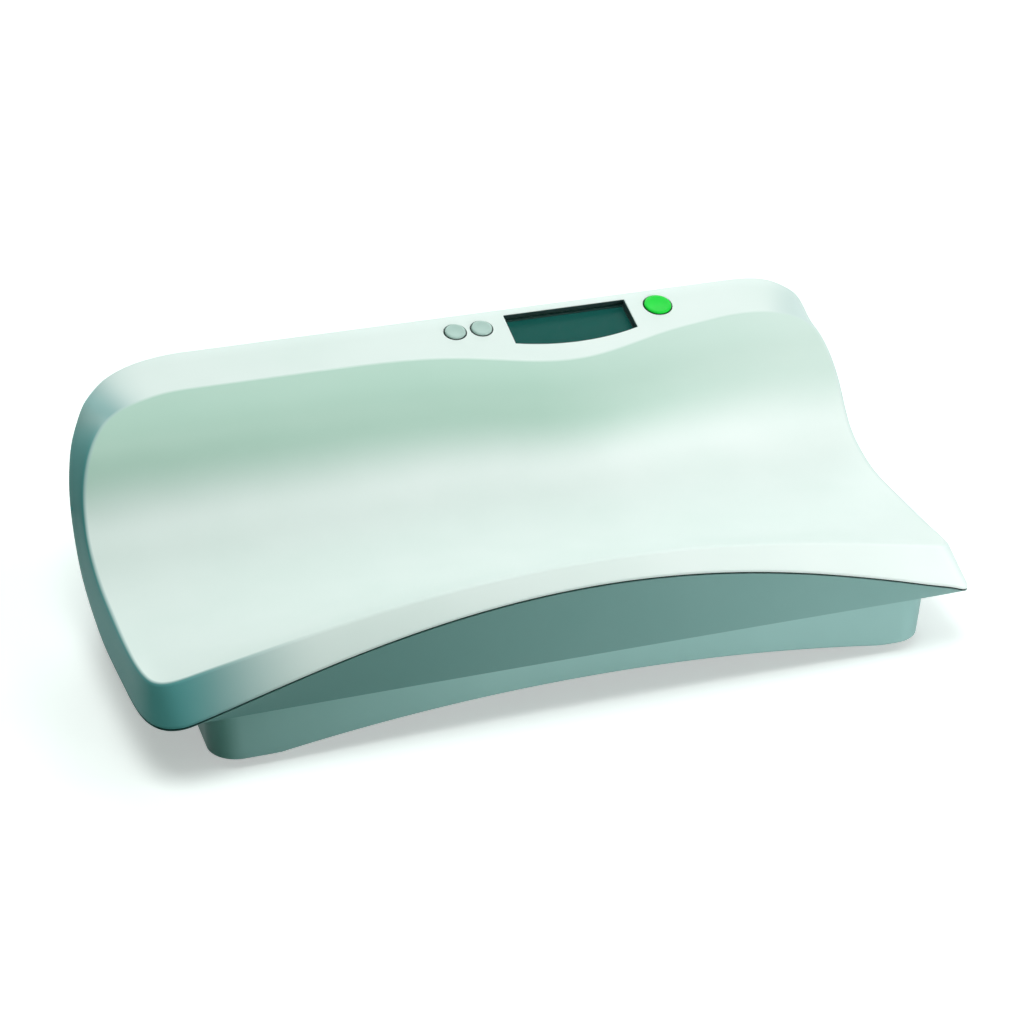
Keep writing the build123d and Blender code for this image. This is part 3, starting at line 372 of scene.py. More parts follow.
@dataclass(frozen=True)
class BoardLaminate:
    """Glass-epoxy circuit board: solder mask over copper runs on a grid."""

    name: str
    colour: str
    copper: str
    pitch: float = 2.54         # grid of the copper runs

    def material(self) -> bpy.types.Material:
        """Builds the material.

        Returns:
            The finished material.
        """
        material, tree, shader = open_material(self.name)
        place = add_node(tree, "ShaderNodeTexCoord").outputs["Object"]
        runs = add_node(
            tree,
            "ShaderNodeTexBrick",
            {"offset": 0.5},
            {
                "Vector": place,
                "Color1": linear(self.colour),
                "Color2": linear(self.colour),
                "Mortar": linear(self.copper),
                "Scale": 1.0,
                "Mortar Size": 0.3 * MM,
                "Brick Width": 4 * self.pitch * MM,
                "Row Height": self.pitch * MM,
            },
        )
        tree.links.new(runs.outputs[0], shader.inputs["Base Color"])
        shader.inputs["Roughness"].default_value = 0.35
        shader.inputs["IOR"].default_value = 1.55
        return material


@dataclass(frozen=True)
class BatteryJacket:
    """Printed shrink film on a round cell: a dark barrel with a band near one end."""

    name: str
    barrel: str
    band: str
    middle_y: float = -14.0     # where the cells' middles lie
    band_from: float = 14.0     # from the cell's middle to the band
    band_edge: float = 0.3      # how soft the printed edge is

    def material(self) -> bpy.types.Material:
        """Builds the material.

        Returns:
            The finished material.
        """
        material, tree, shader = open_material(self.name)
        place = add_node(tree, "ShaderNodeTexCoord").outputs["Object"]
        axes = add_node(tree, "ShaderNodeSeparateXYZ", {}, {0: place})
        edge = (self.middle_y + self.band_from) * MM
        share = add_node(
            tree,
            "ShaderNodeMapRange",
            {},
            {"Value": axes.outputs[1], "From Min": edge, "From Max": edge + self.band_edge * MM},
        )
        colour = blend_colours(tree, share.outputs[0], linear(self.barrel), linear(self.band))
        tree.links.new(colour, shader.inputs["Base Color"])
        shader.inputs["Roughness"].default_value = 0.28
        return material


class Finish(Enum):
    """Every finish on the scale, by the record's slot."""

    # the tray's two painted shade colours: teal on the rim's ends, mint high on the backrest
    tray_plastic = MouldedPlastic(
        "abs_mint_white_satin", "#EDF4F2", "#E8F1EE", shaded="#58999A", sunken="#86BBA2", shine=0.12
    )
    # its last two colours are painted shade: teal on the flare and the base's ends, near black in the groove
    # under the tray
    base_plastic = MouldedPlastic(
        "abs_sea_grey_satin", "#B0D5D3", "#AAD0CE", "#648F8C", "#0C2422", roughness=0.46, shine=0.2
    )
    pad_rubber = Rubber("silicone_foot_pad", "#6F9490", "#86A8A3")
    cup_plastic = MouldedPlastic("nylon_foot_cup", "#8DB0AB", "#86AAA5", roughness=0.5, grain=0.7)
    cell_steel = BrushedMetal("load_cell_aluminium", "#C9CCCE", "#AEB2B5")
    gauge_seal = Rubber("white_gauge_silicone", "#E4E6E2", "#CFD2CC", 2.2, 0.55)
    screw_steel = BrushedMetal("zinc_plated_screw", "#B9BDC2", "#9EA3AA", 0.3, 0.3)
    gasket_foam = Rubber("window_gasket_foam", "#16302E", "#1F3C39", 0.8, 0.9)
    window_clear = ClearPane("acrylic_window", "#2E6F66", "#3A7B72")
    lcd_glass = LcdGlass("unlit_lcd", "#0A5550", "#105E58")
    carrier_plastic = MouldedPlastic("black_abs_carrier", "#1A2322", "#222C2B", roughness=0.5)
    strip_rubber = Rubber("conductive_strip", "#2A2D30", "#5A5F63", 0.5, 0.6)
    board_laminate = BoardLaminate("green_circuit_board", "#1E5B3A", "#3E8A55")
    chip_epoxy = MouldedPlastic("black_epoxy_package", "#1B1C1E", "#242628", roughness=0.55, grain=0.4)
    switch_plastic = MouldedPlastic("black_nylon_switch", "#202224", "#2A2C2E", roughness=0.5)
    # the keys' dark colours are painted shade on their sides down in the gap
    key_grey = MouldedPlastic(
        "abs_key_grey", "#B2CBC4", "#ACC5BE", "", "#123430", 0.38, 0.6, 0.008, 12.0, shine=0.3
    )
    key_green = MouldedPlastic(
        "abs_key_green", "#16DE40", "#12D63A", "", "#0E3A1C", 0.38, 0.6, 0.008, 12.0, shine=0.15
    )
    case_plastic = MouldedPlastic("battery_case_abs", "#C3CECB", "#BAC6C2", roughness=0.5)
    battery_jacket = BatteryJacket("battery_shrink_film", "#20262B", "#B8863A")
    contact_nickel = BrushedMetal("nickel_spring_strip", "#CFC8B8", "#B5AE9E", 0.3, 0.28)
    wire_jacket = Rubber("pvc_cell_wire", "#D8DBDA", "#C4C8C7", 0.9, 0.5)
    lead_jacket = Rubber("pvc_battery_lead", "#A62B2B", "#8F2323", 0.9, 0.5)
    signal_jacket = Rubber("pvc_signal_cable", "#5A6064", "#6B7175", 0.9, 0.5)


@lru_cache(maxsize=None)
def finished(finish: Finish) -> bpy.types.Material:
    """The one material of a finish.

    Args:
        finish: Which finish.

    Returns:
        Its material, made at the first call.
    """
    return finish.value.material()


# ---------------------------------------------------------------- mesh tools
def fresh(made: dict, kind: type, key: str = "geom") -> list:
    """The vertices, edges or faces that an operator made.

    Args:
        made: What the operator gave back.
        kind: Type of the wanted elements.
        key: Which of its lists is read.

    Returns:
        The elements of that type.
    """
    return [item for item in made[key] if isinstance(item, kind)]


def soften(bm: bmesh.types.BMesh, geom: list, offset: float, segments: int, affect: str = "EDGES") -> None:
    """Rounds edges, or the corners of a flat outline.

    Args:
        bm: The mesh.
        geom: The edges, or the corners' vertices.
        offset: How far the rounding reaches, in millimetres.
        segments: Steps round it.
        affect: EDGES or VERTICES.
    """
    bmesh.ops.bevel(
        bm,
        geom=geom,
        offset=offset * MM,
        offset_type="OFFSET",
        segments=segments,
        profile=0.5,
        affect=affect,
        clamp_overlap=affect == "EDGES",
        material=-1,
    )


def smooth_through(knots: np.ndarray, values: np.ndarray, at: np.ndarray) -> np.ndarray:
    """Natural cubic curve through given values.

    Args:
        knots: Rising places of the values.
        values: One row for each knot.
        at: Where the curve is read.

    Returns:
        One row for each reading.
    """
    count, gaps = len(knots), np.diff(knots)
    system = np.zeros((count, count))
    right = np.zeros_like(values, dtype=float)
    system[0, 0] = system[-1, -1] = 1.0
    for i in range(1, count - 1):
        system[i, i - 1 : i + 2] = gaps[i - 1], 2 * (gaps[i - 1] + gaps[i]), gaps[i]
        right[i] = 6 * ((values[i + 1] - values[i]) / gaps[i] - (values[i] - values[i - 1]) / gaps[i - 1])
    bends = np.linalg.solve(system, right)
    piece = np.clip(np.searchsorted(knots, at, side="right") - 1, 0, count - 2)
    span = gaps[piece][:, None]
    after = (at - knots[piece])[:, None]
    before = span - after
    return (
        (bends[piece] * before**3 + bends[piece + 1] * after**3) / (6 * span)
        + (values[piece] / span - bends[piece] * span / 6) * before
        + (values[piece + 1] / span - bends[piece + 1] * span / 6) * after
    )


def eased(values: np.ndarray, first: float, last: float) -> np.ndarray:
    """Shares that climb softly from zero at one value to one at another.

    Args:
        values: The values.
        first: Where the share is zero.
        last: Where it is one.

    Returns:
        One share for each value.
    """
    share = np.clip((values - first) / (last - first), 0, 1)
    return share**2 * (3 - 2 * share)


class RingSkin:
    """A skin that grows ring by ring from a circle of vertices."""

    def __init__(self, points: np.ndarray, shaded: np.ndarray, sunken: np.ndarray) -> None:
        """Starts the skin.

        Args:
            points: The first ring's places in millimetres.
            shaded: How much painted shade each of its points has.
            sunken: How much painted shade of a hollow each has.
        """
        self.bm = bmesh.new()
        self.bm.verts.layers.float.new("shaded")
        self.bm.verts.layers.float.new("sunken")
        made = bmesh.ops.create_circle(self.bm, segments=len(points), radius=1.0, cap_ends=False)
        self.ring = made["verts"]
        self.rings = [self.ring]
        self._place(points, shaded, sunken)

    def _place(self, points: np.ndarray, shaded: np.ndarray, sunken: np.ndarray) -> None:
        """Moves the newest ring and marks its painted shade.

        Args:
            points: Its places in millimetres.
            shaded: Its points' shares of painted shade.
            sunken: Its points' shares of painted shade in hollows.
        """
        layers = self.bm.verts.layers.float
        for vert, point, shade, hollow_shade in zip(self.ring, points, shaded, sunken):
            vert.co = Vector(point) * MM
            vert[layers["shaded"]] = float(shade)
            vert[layers["sunken"]] = float(hollow_shade)

    def edges(self, index: int) -> list[bmesh.types.BMEdge]:
        """The edges of one ring, by its number."""
        ring = self.rings[index]
        return [self.bm.edges.get(pair) for pair in zip(ring, ring[1:] + ring[:1])]

    def grow(self, points: np.ndarray, shaded: np.ndarray, sunken: np.ndarray) -> None:
        """Extrudes the newest ring's edges into the next ring.

        Args:
            points: The next ring's places in millimetres.
            shaded: Its points' shares of painted shade.
            sunken: Its points' shares of painted shade in hollows.
        """
        made = bmesh.ops.extrude_edge_only(self.bm, edges=self.edges(-1))
        order = {vert: index for index, vert in enumerate(self.ring)}
        grown: list = [None] * len(self.ring)
        for vert in fresh(made, bmesh.types.BMVert):
            for edge in vert.link_edges:
                if edge.other_vert(vert) in order:
                    grown[order[edge.other_vert(vert)]] = vert
        self.ring = grown
        self.rings.append(grown)
        self._place(points, shaded, sunken)


def new_piece(bm: bmesh.types.BMesh, name: str, weld: float = 0.001) -> bpy.types.Object:
    """Makes an object of a finished bmesh, with its doubles merged and its faces turned outwards.

    Args:
        bm: The mesh, which is freed.
        name: The object's name.
        weld: Distance under which vertices merge, in millimetres.

    Returns:
        The object at the origin.
    """
    bmesh.ops.remove_doubles(bm, verts=bm.verts[:], dist=weld * MM)
    bmesh.ops.recalc_face_normals(bm, faces=bm.faces[:])
    mesh = bpy.data.meshes.new(name)
    bm.to_mesh(mesh)
    bm.free()
    piece = bpy.data.objects.new(name, mesh)
    bpy.context.scene.collection.objects.link(piece)
    return piece


def settle(piece: bpy.types.Object) -> None:
    """Puts a piece's modifiers into its mesh.

    Args:
        piece: The piece.
    """
    graph = bpy.context.evaluated_depsgraph_get()
    mesh = bpy.data.meshes.new_from_object(piece.evaluated_get(graph))
    piece.modifiers.clear()
    piece.data = mesh


def thicken(piece: bpy.types.Object, wall: float, side: float = -1.0) -> None:
    """Gives a skin its wall.

    Args:
        piece: The skin, with its faces pointing outwards.
        wall: Thickness in millimetres.
        side: Minus one for a wall inside the skin, one for a wall outside it.
    """
    shell = piece.modifiers.new("wall", "SOLIDIFY")
    shell.thickness = wall * MM
    shell.offset = side
    settle(piece)


def carve(piece: bpy.types.Object, cutters: list[bpy.types.Object]) -> None:
    """Cuts openings into a piece and removes the cutters.

    Args:
        piece: What is cut.
        cutters: Closed forms that stand where the openings are.
    """
    for cutter in cutters:
        cut = piece.modifiers.new("opening", "BOOLEAN")
        cut.operation = "DIFFERENCE"
        cut.solver = "EXACT"
        cut.object = cutter
    settle(piece)
    for cutter in cutters:
        bpy.data.objects.remove(cutter)


def dress(piece: bpy.types.Object, finish: Finish, body: Body, angle: float = 32.0) -> None:
    """Gives a new piece its finish, shading and body.

    Args:
        piece: The piece.
        finish: Its finish, whose name is its slot in the record.
        body: The body that it rides on.
        angle: Edges that turn more than this many degrees stay crisp.
    """
    piece.data.shade_smooth()
    piece.data.set_sharp_from_angle(angle=math.radians(angle))
    piece.data.materials.clear()
    piece.data.materials.append(finished(finish))
    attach(piece, body.value)


def moved(x: float, y: float, z: float = 0.0) -> Matrix:
    """A move given in millimetres, as a matrix in metres."""
    return Matrix.Translation((x * MM, y * MM, z * MM))


def lift(bm: bmesh.types.BMesh, verts: list, rise: float) -> None:
    """Moves vertices up by millimetres."""
    bmesh.ops.translate(bm, verts=verts, vec=(0, 0, rise * MM))


def raise_wall(bm: bmesh.types.BMesh, edges: list, rise: float) -> None:
    """Extrudes edges straight up by millimetres."""
    made = bmesh.ops.extrude_edge_only(bm, edges=edges)
    lift(bm, fresh(made, bmesh.types.BMVert), rise)


def push(
    bm: bmesh.types.BMesh, face: bmesh.types.BMFace, rise: float, closed: bool = False
) -> tuple[bmesh.types.BMFace, list[bmesh.types.BMVert]]:
    """Extrudes a face straight up.

    Args:
        bm: The mesh.
        face: The face.
        rise: How far, in millimetres.
        closed: Keeps the face where it was too, as the form's lower end.

    Returns:
        The face at its new height and its vertices.
    """
    made = bmesh.ops.extrude_face_region(bm, geom=[face])
    up = fresh(made, bmesh.types.BMVert)
    if not closed:
        bmesh.ops.delete(bm, geom=[face], context="FACES_ONLY")
    lift(bm, up, rise)
    return fresh(made, bmesh.types.BMFace)[0], up


def add_block(bm: bmesh.types.BMesh, size: tuple, place: Matrix) -> None:
    """Adds a block with three sides in millimetres at a place in metres."""
    bmesh.ops.create_cube(bm, size=1.0, matrix=place @ Matrix.Diagonal((*(side * MM for side in size), 1)))


def round_bar(
    bm: bmesh.types.BMesh, place: Matrix, radius: float, low: float, high: float, segments: int
) -> None:
    """Adds a closed upright cylinder.

    Args:
        bm: The mesh that gets it.
        place: Turns and moves it, in metres.
        radius: Radius in millimetres.
        low: Height of its lower end in the place's own Z.
        high: Height of its upper end.
        segments: Sides round it.
    """
    bmesh.ops.create_cone(
        bm,
        cap_ends=True,
        segments=segments,
        radius1=radius * MM,
        radius2=radius * MM,
        depth=(high - low) * MM,
        matrix=place @ moved(0, 0, (low + high) / 2),
    )


# ---------------------------------------------------------------- forms shared by the shells
@dataclass(frozen=True)
class CradleForm:
    """The tray's upper surface: a seat that climbs to the front lip and up the backrest to the console."""

    front_y: float = -154.0
    rear_y: float = 146.0
    valley_y: float = -29.0     # where the seat is lowest
    corner_seam_z: float = 44.0
    arch_rise: float = 54.0     # of the front lip's middle over its corners
    arch_centre_x: float = 11.0
    arch_half: float = 277.0
    arch_power: float = 1.25
    lip_run: float = 13.0       # from the lip's outer edge back to its crease
    lip_rise_middle: float = 9.0
    lip_rise_corner: float = 25.0
    seat_z: float = 64.5
    seat_middle_rise: float = 5.0
    front_bends: tuple = (1.0, 0.7, 0.4)    # shares of the way from the valley to the lip's crease
    front_curve: float = 2.0
    # shares of the way back to the console, of the climb to it and of the swell's push
    backrest: tuple = ((0.32, 0.07, 0.5), (0.483, 0.25, 0.8), (0.59, 0.56, 1.0), (0.675, 0.79, 1.0))
    shoulder_climb: float = 0.93
    console_z: float = 153.0
    console_tilt: float = math.radians(17.8)
    console_depth: float = 36.0
    swell_depth: float = 23.0   # how much deeper the console is round the window
    swell_centre_x: float = 79.0
    swell_width: float = 51.0
    swell_push: float = 13.8    # how far the backrest under it comes forward
    readings: int = 40          # places read along each stretch of a cross-section

    def arch(self, x: float) -> float:
        """Share of the lip's rise at a place along the tray."""
        offset = min(abs(x - self.arch_centre_x) / self.arch_half, 1.0)
        return (1 - offset**2) ** self.arch_power

    def swell(self, x: float) -> float:
        """Share of the console's forward swell at a place along the tray."""
        return math.exp(-(((x - self.swell_centre_x) / self.swell_width) ** 2) / 2)

    def lip_z(self, x: float) -> float:
        """Height of the front lip's outer edge."""
        return self.corner_seam_z + self.arch_rise * self.arch(x)

    def console_y(self, x: float) -> float:
        """Where the console's face meets the backrest."""
        depth = self.console_depth + self.swell_depth * self.swell(x)
        return self.rear_y - depth * math.cos(self.console_tilt)

    def face_z(self, y: float) -> float:
        """Height of the console's flat face."""
        return self.console_z - (self.rear_y - y) * math.tan(self.console_tilt)

    @lru_cache(maxsize=None)
    def section(self, x: float) -> np.ndarray:
        """Cross-section from the lip's crease to the console's.

        Args:
            x: Place along the tray.

        Returns:
            Rows of y and z.
        """
        share = self.arch(x)
        rise = self.lip_rise_corner + (self.lip_rise_middle - self.lip_rise_corner) * share
        crease_z = self.lip_z(x) + rise
        seat = self.seat_z + self.seat_middle_rise * share
        edge_y = self.console_y(x)
        climb = self.face_z(edge_y) - seat
        swell = self.swell_push * self.swell(x)
        reach = self.valley_y - (self.front_y + self.lip_run)
        way_back = self.rear_y - self.console_depth * math.cos(self.console_tilt) - self.valley_y
        line = [
            (self.valley_y - reach * bend, seat + (crease_z - seat) * bend**self.front_curve)
            for bend in self.front_bends
        ]
        line.append((self.valley_y, seat))
        line += [
            (self.valley_y + way_back * back - swell * pushed, seat + climb * up)
            for back, up, pushed in self.backrest
        ]
        line.append(((line[-1][0] + edge_y) / 2, seat + climb * self.shoulder_climb))
        line.append((edge_y, self.face_z(edge_y)))
        bends = np.array(line)
        knots = np.concatenate([[0.0], np.cumsum(np.hypot(*np.diff(bends, axis=0).T))])
        spans = len(knots) - 1
        at = np.interp(np.linspace(0, spans, spans * self.readings + 1), range(spans + 1), knots)
        return smooth_through(knots, bends, at)

    def height(self, x: float, y: float) -> float:
        """Height of the upper surface over a place in plan.

        Args:
            x: Place along the tray.
            y: Place across it.

        Returns:
            The height.
        """
        line = self.section(round(x, 2))
        if y >= line[-1, 0]:
            return self.face_z(y)
        return float(np.interp(y, line[:, 0], line[:, 1]))

    def climbed(self, x: float, y: float) -> float:
        """Share of the backrest's climb that is under a place in plan.

        Args:
            x: Place along the tray.
            y: Place across it.

        Returns:
            Zero up to the valley and one at the console.
        """
        line = self.section(round(x, 2))
        if y < self.valley_y:
            return 0.0
        low, high = self.height(x, self.valley_y), line[-1, 1]
        return (self.height(x, y) - low) / (high - low)


@dataclass(frozen=True)
class RimLine:
    """The rim that runs all round the tray: its outer edge and the crease inside it, station by station.

    The front and the console follow the cradle's form. At the ends each station gives the outer edge's
    place and the crease's plan place.
    """

    form: CradleForm = field(default_factory=CradleForm)
    per_station: int = 8
    lap: int = 6                # stations by which the curve runs past its own start and end
    inside: float = 0.1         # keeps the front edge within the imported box
    right_end: tuple = (
        ((257, -154, None), (244, -141)),
        ((265, -152.4, 48.5), (252, -140.5)),
        ((270.2, -146.5, 46.4), (257.8, -137.3)),
        ((272.8, -137, 45.3), (261, -131)),
        ((274.3, -124, 44.8), (262.6, -121)),
        ((275.5, -105, 44.6), (263.9, -103)),
        ((276.3, -75, 44.8), (265.5, -73)),
        ((276.4, -40, 45.2), (266.2, -38)),
        ((276.2, -10, 46.4), (266.4, -8)),
        ((275.5, 15, 50), (267.2, 14)),
        ((274, 40, 61), (267.2, 33)),
        ((272.5, 58, 79), (267.1, 46.2)),
        ((271, 70, 95), (265.4, 54.8)),
        ((269.5, 82, 108.5), (262.5, 64.1)),
        ((266.8, 95, 121), (261, 75.3)),
        ((264.3, 106.5, 133), (259.4, 85)),
        ((262.6, 114.5, 140.5), (255.4, 94)),
        ((260.6, 122, None), (250, 100.5)),
        ((256, 131, None), (242.5, 105.3)),
        ((247, 139.8, None), (233.5, 109.2)),
        ((233.6, 144.6, None), (221.5, 111.4)),
        ((218.6, 145.9, None), (208, 111.7)),
    )
    left_end: tuple = (
        ((-173, 146, None), (-171, 111.7)),
        ((-195.8, 145.6, None), (-189, 111.7)),
        ((-209.4, 143.7, None), (-202, 111.1)),
        ((-222.4, 140.5, None), (-213.5, 109.1)),
        ((-234.5, 135.3, None), (-223.5, 106)),
        ((-244.9, 128.4, None), (-233, 102.4)),
        ((-254.4, 118.6, None), (-241.5, 97.8)),
        ((-261.9, 108.4, 140.8), (-248.6, 92)),
        ((-267.9, 100.5, 133), (-255.5, 84.3)),
        ((-273.3, 91, 125.2), (-261.9, 75.2)),
        ((-277.4, 80.8, 116.5), (-268.2, 65)),
        ((-280.1, 72.5, 106), (-272.8, 57.3)),
        ((-281.6, 66, 92.5), (-275.7, 50.5)),
        ((-281.9, 60.5, 79), (-276.8, 44.5)),
        ((-282, 51, 66), (-277.5, 36.5)),
        ((-282, 36, 55), (-277.7, 26)),
        ((-282, 15, 49), (-277.6, 12)),
        ((-282, -8, 46.2), (-277.4, -8)),
        ((-281.8, -37, 45), (-277, -36)),
        ((-280.6, -65, 44.6), (-276.6, -65)),
        ((-279, -93, 44.4), (-275.7, -93)),
        ((-277.4, -115.3, 44.3), (-274.2, -114)),
        ((-275, -130.4, 44.3), (-272, -127)),
        ((-271.1, -141.1, 44.5), (-268.6, -135.2)),
        ((-264.6, -148.9, 44.9), (-262.5, -139.8)),
        ((-256, -153, 46.2), (-254.5, -141.2)),
        ((-245, -154, None), (-243, -141)),
    )
    last_in: float = 10.0       # how far the crease lies further in at the front's last station
    front_x: tuple = (-222, -195, -160, -120, -80, -40, 0, 40, 80, 120, 160, 195, 222, 243)
    console_x: tuple = (185, 160, 138, 118, 100, 79, 58, 40, 20, -10, -50, -95, -135)

    def stations(self) -> tuple[np.ndarray, np.ndarray]:
        """All stations in order, round the tray from the front.

        Returns:
            Outer edge places and crease places.
        """
        form = self.form
        crease_y = form.front_y + form.lip_run
        *middle_x, last_x = self.front_x
        pairs = [((x, form.front_y, form.lip_z(x)), (x, crease_y)) for x in middle_x]
        pairs.append(((last_x, form.front_y, form.lip_z(last_x)), (last_x - self.last_in, crease_y)))
        pairs += [self._level(pair) for pair in self.right_end]
        pairs += [((x, form.rear_y, form.console_z), (x, form.console_y(x))) for x in self.console_x]
        pairs += [self._level(pair) for pair in self.left_end]
        edge = np.array([pair[0] for pair in pairs], float)
        crease = np.array([(x, y, form.height(x, y)) for _, (x, y) in pairs], float)
        return edge, crease

    def _level(self, pair: tuple) -> tuple:
        """Gives a station its missing height from the lip or the console's face.

        Args:
            pair: The outer edge's place, with None for a missing height, and the crease's plan place.

        Returns:
            The pair with its height.
        """
        (x, y, z), crease = pair
        if z is None:
            z = self.form.lip_z(x) if y < 0 else self.form.face_z(y)
        return (x, y, z), crease

    def rings(self) -> tuple[np.ndarray, np.ndarray]:
        """The outer edge and the crease as smooth closed rings.

        Returns:
            Two arrays with as many rows as the rings have vertices.
        """
        edge, crease = self.stations()
        count, lap = len(edge), self.lap
        order = [index % count for index in range(-lap, count + lap + 1)]
        both = np.hstack([edge, crease])[order]
        steps = np.linalg.norm(np.diff(both, axis=0), axis=1)
        knots = np.concatenate([[0.0], np.cumsum(steps)])
        wanted = np.arange(count * self.per_station) / self.per_station + lap
        at = np.interp(wanted, range(len(knots)), knots)
        smooth = smooth_through(knots, both, at)
        smooth[:, 1] = np.clip(smooth[:, 1], self.form.front_y + self.inside, self.form.rear_y)
        return smooth[:, :3], smooth[:, 3:]


def outward(ring: np.ndarray) -> np.ndarray:
    """Unit directions in plan that point out of a ring which runs anticlockwise.

    Args:
        ring: Rows of places.

    Returns:
        Rows of x and y.
    """
    along = np.roll(ring, -1, axis=0) - np.roll(ring, 1, axis=0)
    across = np.stack([along[:, 1], -along[:, 0]], axis=1)
    return across / np.linalg.norm(across, axis=1)[:, None]


# ---------------------------------------------------------------- tray
@dataclass
class CradleTray:
    """The upper shell: seat, backrest, rim and console, with its window and key openings."""

    form: CradleForm
    rim: RimLine
    wall: float = 3.0
    edge_drop: float = 1.5      # upright edge under the rim's outer edge
    rear_seam_z: float = 126.0
    rear_out: float = 7.85      # how far the back leans out down to the seam
    easing: float = 3.0         # how softly the upright edge grows into the back
    crease_round: float = 2.0
    edge_round: float = 0.7
    rim_rings: tuple = (0.3, 0.6)
    spine_half: float = 150.0   # half the line that the inner rings shrink to
    spine_y: float = -22.0
    spine_from: float = 262.0   # place of the crease whose points run to the line's ends
    inner_rings: int = 44
    first_ring: float = 1.6     # times the crease's rounding, from the crease to the first of them
    backrest_shade_share: float = 0.6    # share of painted shade high on the backrest
    hollow_from: tuple = (0.2, 0.7)         # shares of the climb between which it sets in
    hollow_fade: tuple = (40.0, 240.0)      # places along the tray between which it fades
    hollow_right: float = 0.5               # by this share
    right_painted_shade: float = 0.26                # share of painted shade at the right end
    lip_fade: tuple = (-262.0, -160.0)      # where the left end's painted shade fades along the lip
    lip_depth: float = 25.0                 # how far back from the front it counts as the lip
    window_x: tuple = (43.0, 134.0)
    window_v: tuple = (-6.2, -36.4)
    window_sag: float = 6.6     # how far its lower edge bows down in the middle
    window_cuts: int = 23       # points along that edge between its corners
    window_cut: tuple = (12.0, 3.0)         # how far its cutter reaches under and over the face
    key_row: float = -17.0
    keys: tuple = ((4.4, 7.4), (23.8, 7.4), (156.1, 9.8))
    key_gap: float = 1.0
    key_cut: tuple = (12.0, 6.0)            # how far a key's cutter reaches under and over the face
    opening_chamfer: float = 0.35
    liner_z: tuple = (-3.4, -0.4)           # its edges over the face
    liner_inset: float = 0.1
    liner_wall: float = 0.7

    def seam(self) -> np.ndarray:
        """The shell's lower edge.

        Returns:
            Rows of places, as many as in the rim's rings.
        """
        edge, _ = self.rim.rings()
        tallest = self.form.console_z - self.rear_seam_z
        over = edge[:, 2] - self.rear_seam_z - self.edge_drop
        drop = self.edge_drop + self.easing * np.log1p(np.exp(over / self.easing))
        share = (drop - self.edge_drop) / (tallest - self.edge_drop)
        seam = edge.copy()
        seam[:, :2] += outward(edge) * (self.rear_out * share)[:, None]
        seam[:, 2] -= drop
        return seam

    def rim_painted_shade(self, edge: np.ndarray) -> np.ndarray:
        """Share of painted shade round the rim, for the side away from the light: full at the left end,
        faint at the right.

        Args:
            edge: The rim's outer edge.

        Returns:
            One share for each row.
        """
        ends = eased(outward(edge)[:, 0] ** 2, 0, 1)
        full, none = self.lip_fade
        on_lip = edge[:, 1] < self.form.front_y + self.lip_depth
        lip = np.where(on_lip, eased(edge[:, 0], none, full), 0)
        return np.where(edge[:, 0] > 0, self.right_painted_shade * ends, np.maximum(ends, lip))

    def backrest_painted_shade(self, plan: np.ndarray) -> np.ndarray:
        """Share of painted shade under the console, where the backrest is hollow.

        Args:
            plan: Rows of x and y.

        Returns:
            One share for each row, which fades towards the right.
        """
        climbed = np.array([self.form.climbed(x, y) for x, y in plan])
        right = np.interp(plan[:, 0], self.hollow_fade, (0, 1))
        return self.backrest_shade_share * eased(climbed, *self.hollow_from) * (1 - self.hollow_right * right)

    def skin(self) -> bpy.types.Object:
        """Grows the shell's outer skin from the seam, over the rim, into the cradle.

        Returns:
            The open skin.
        """
        edge, crease = self.rim.rings()
        # painted shade on the rim, strongest at the left end
        ends = self.rim_painted_shade(edge)
        bare = np.zeros(len(edge))
        skin = RingSkin(self.seam(), ends, bare)
        skin.grow(edge, ends, bare)
        for share in self.rim_rings:
            skin.grow(edge + (crease - edge) * share, ends, bare)
        skin.grow(crease, ends, bare)
        crease_ring = len(skin.rings) - 1
        half = self.spine_half
        spine_x = np.clip(crease[:, 0] * half / self.spine_from, -half, half)
        way = np.column_stack([spine_x, np.full(len(spine_x), self.spine_y)]) - crease[:, :2]
        start = self.first_ring * self.crease_round / np.linalg.norm(way, axis=1)
        for step in range(self.inner_rings):
            share = step / (self.inner_rings - 1)
            plan = crease[:, :2] + way * (start + (1 - start) * share)[:, None]
            heights = np.array([self.form.height(x, y) for x, y in plan])
            # the cradle's rings carry painted shade high on the backrest
            skin.grow(np.column_stack([plan, heights]), bare, self.backrest_painted_shade(plan))
        soften(skin.bm, skin.edges(crease_ring), self.crease_round, 4)
        soften(skin.bm, skin.edges(1), self.edge_round, 2)
        return new_piece(skin.bm, "cradle_tray", 0.05)

    def console_place(self, x: float, v: float) -> Matrix:
        """Where a feature on the console's face stands.

        Args:
            x: Place along the tray.
            v: Place up the face, below zero from its rear edge.

        Returns:
            A matrix in metres whose Z points out of the face.
        """
        rear = moved(0, self.form.rear_y, self.form.console_z)
        return rear @ Matrix.Rotation(self.form.console_tilt, 4, "X") @ moved(x, v)

    def window_outline(self) -> bmesh.types.BMesh:
        """The window's outline with its bowed lower edge, as one face.

        Returns:
            A mesh in the console face's own place.
        """
        left, right = self.window_x
        top, low = self.window_v
        bm = bmesh.new()
        plan = ((left, low), (right, low), (right, top), (left, top))
        corners = [bm.verts.new((x * MM, v * MM, 0)) for x, v in plan]
        bm.faces.new(corners)
        lower = bm.edges.get(corners[:2])
        cuts = bmesh.ops.subdivide_edges(bm, edges=[lower], cuts=self.window_cuts)
        middle, half = (left + right) / 2, (right - left) / 2
        radius = (half**2 + self.window_sag**2) / (2 * self.window_sag)
        for vert in fresh(cuts, bmesh.types.BMVert, "geom_inner"):
            across = vert.co.x / MM - middle
            vert.co.y = (low - (math.sqrt(radius**2 - across**2) - (radius - self.window_sag))) * MM
        return bm

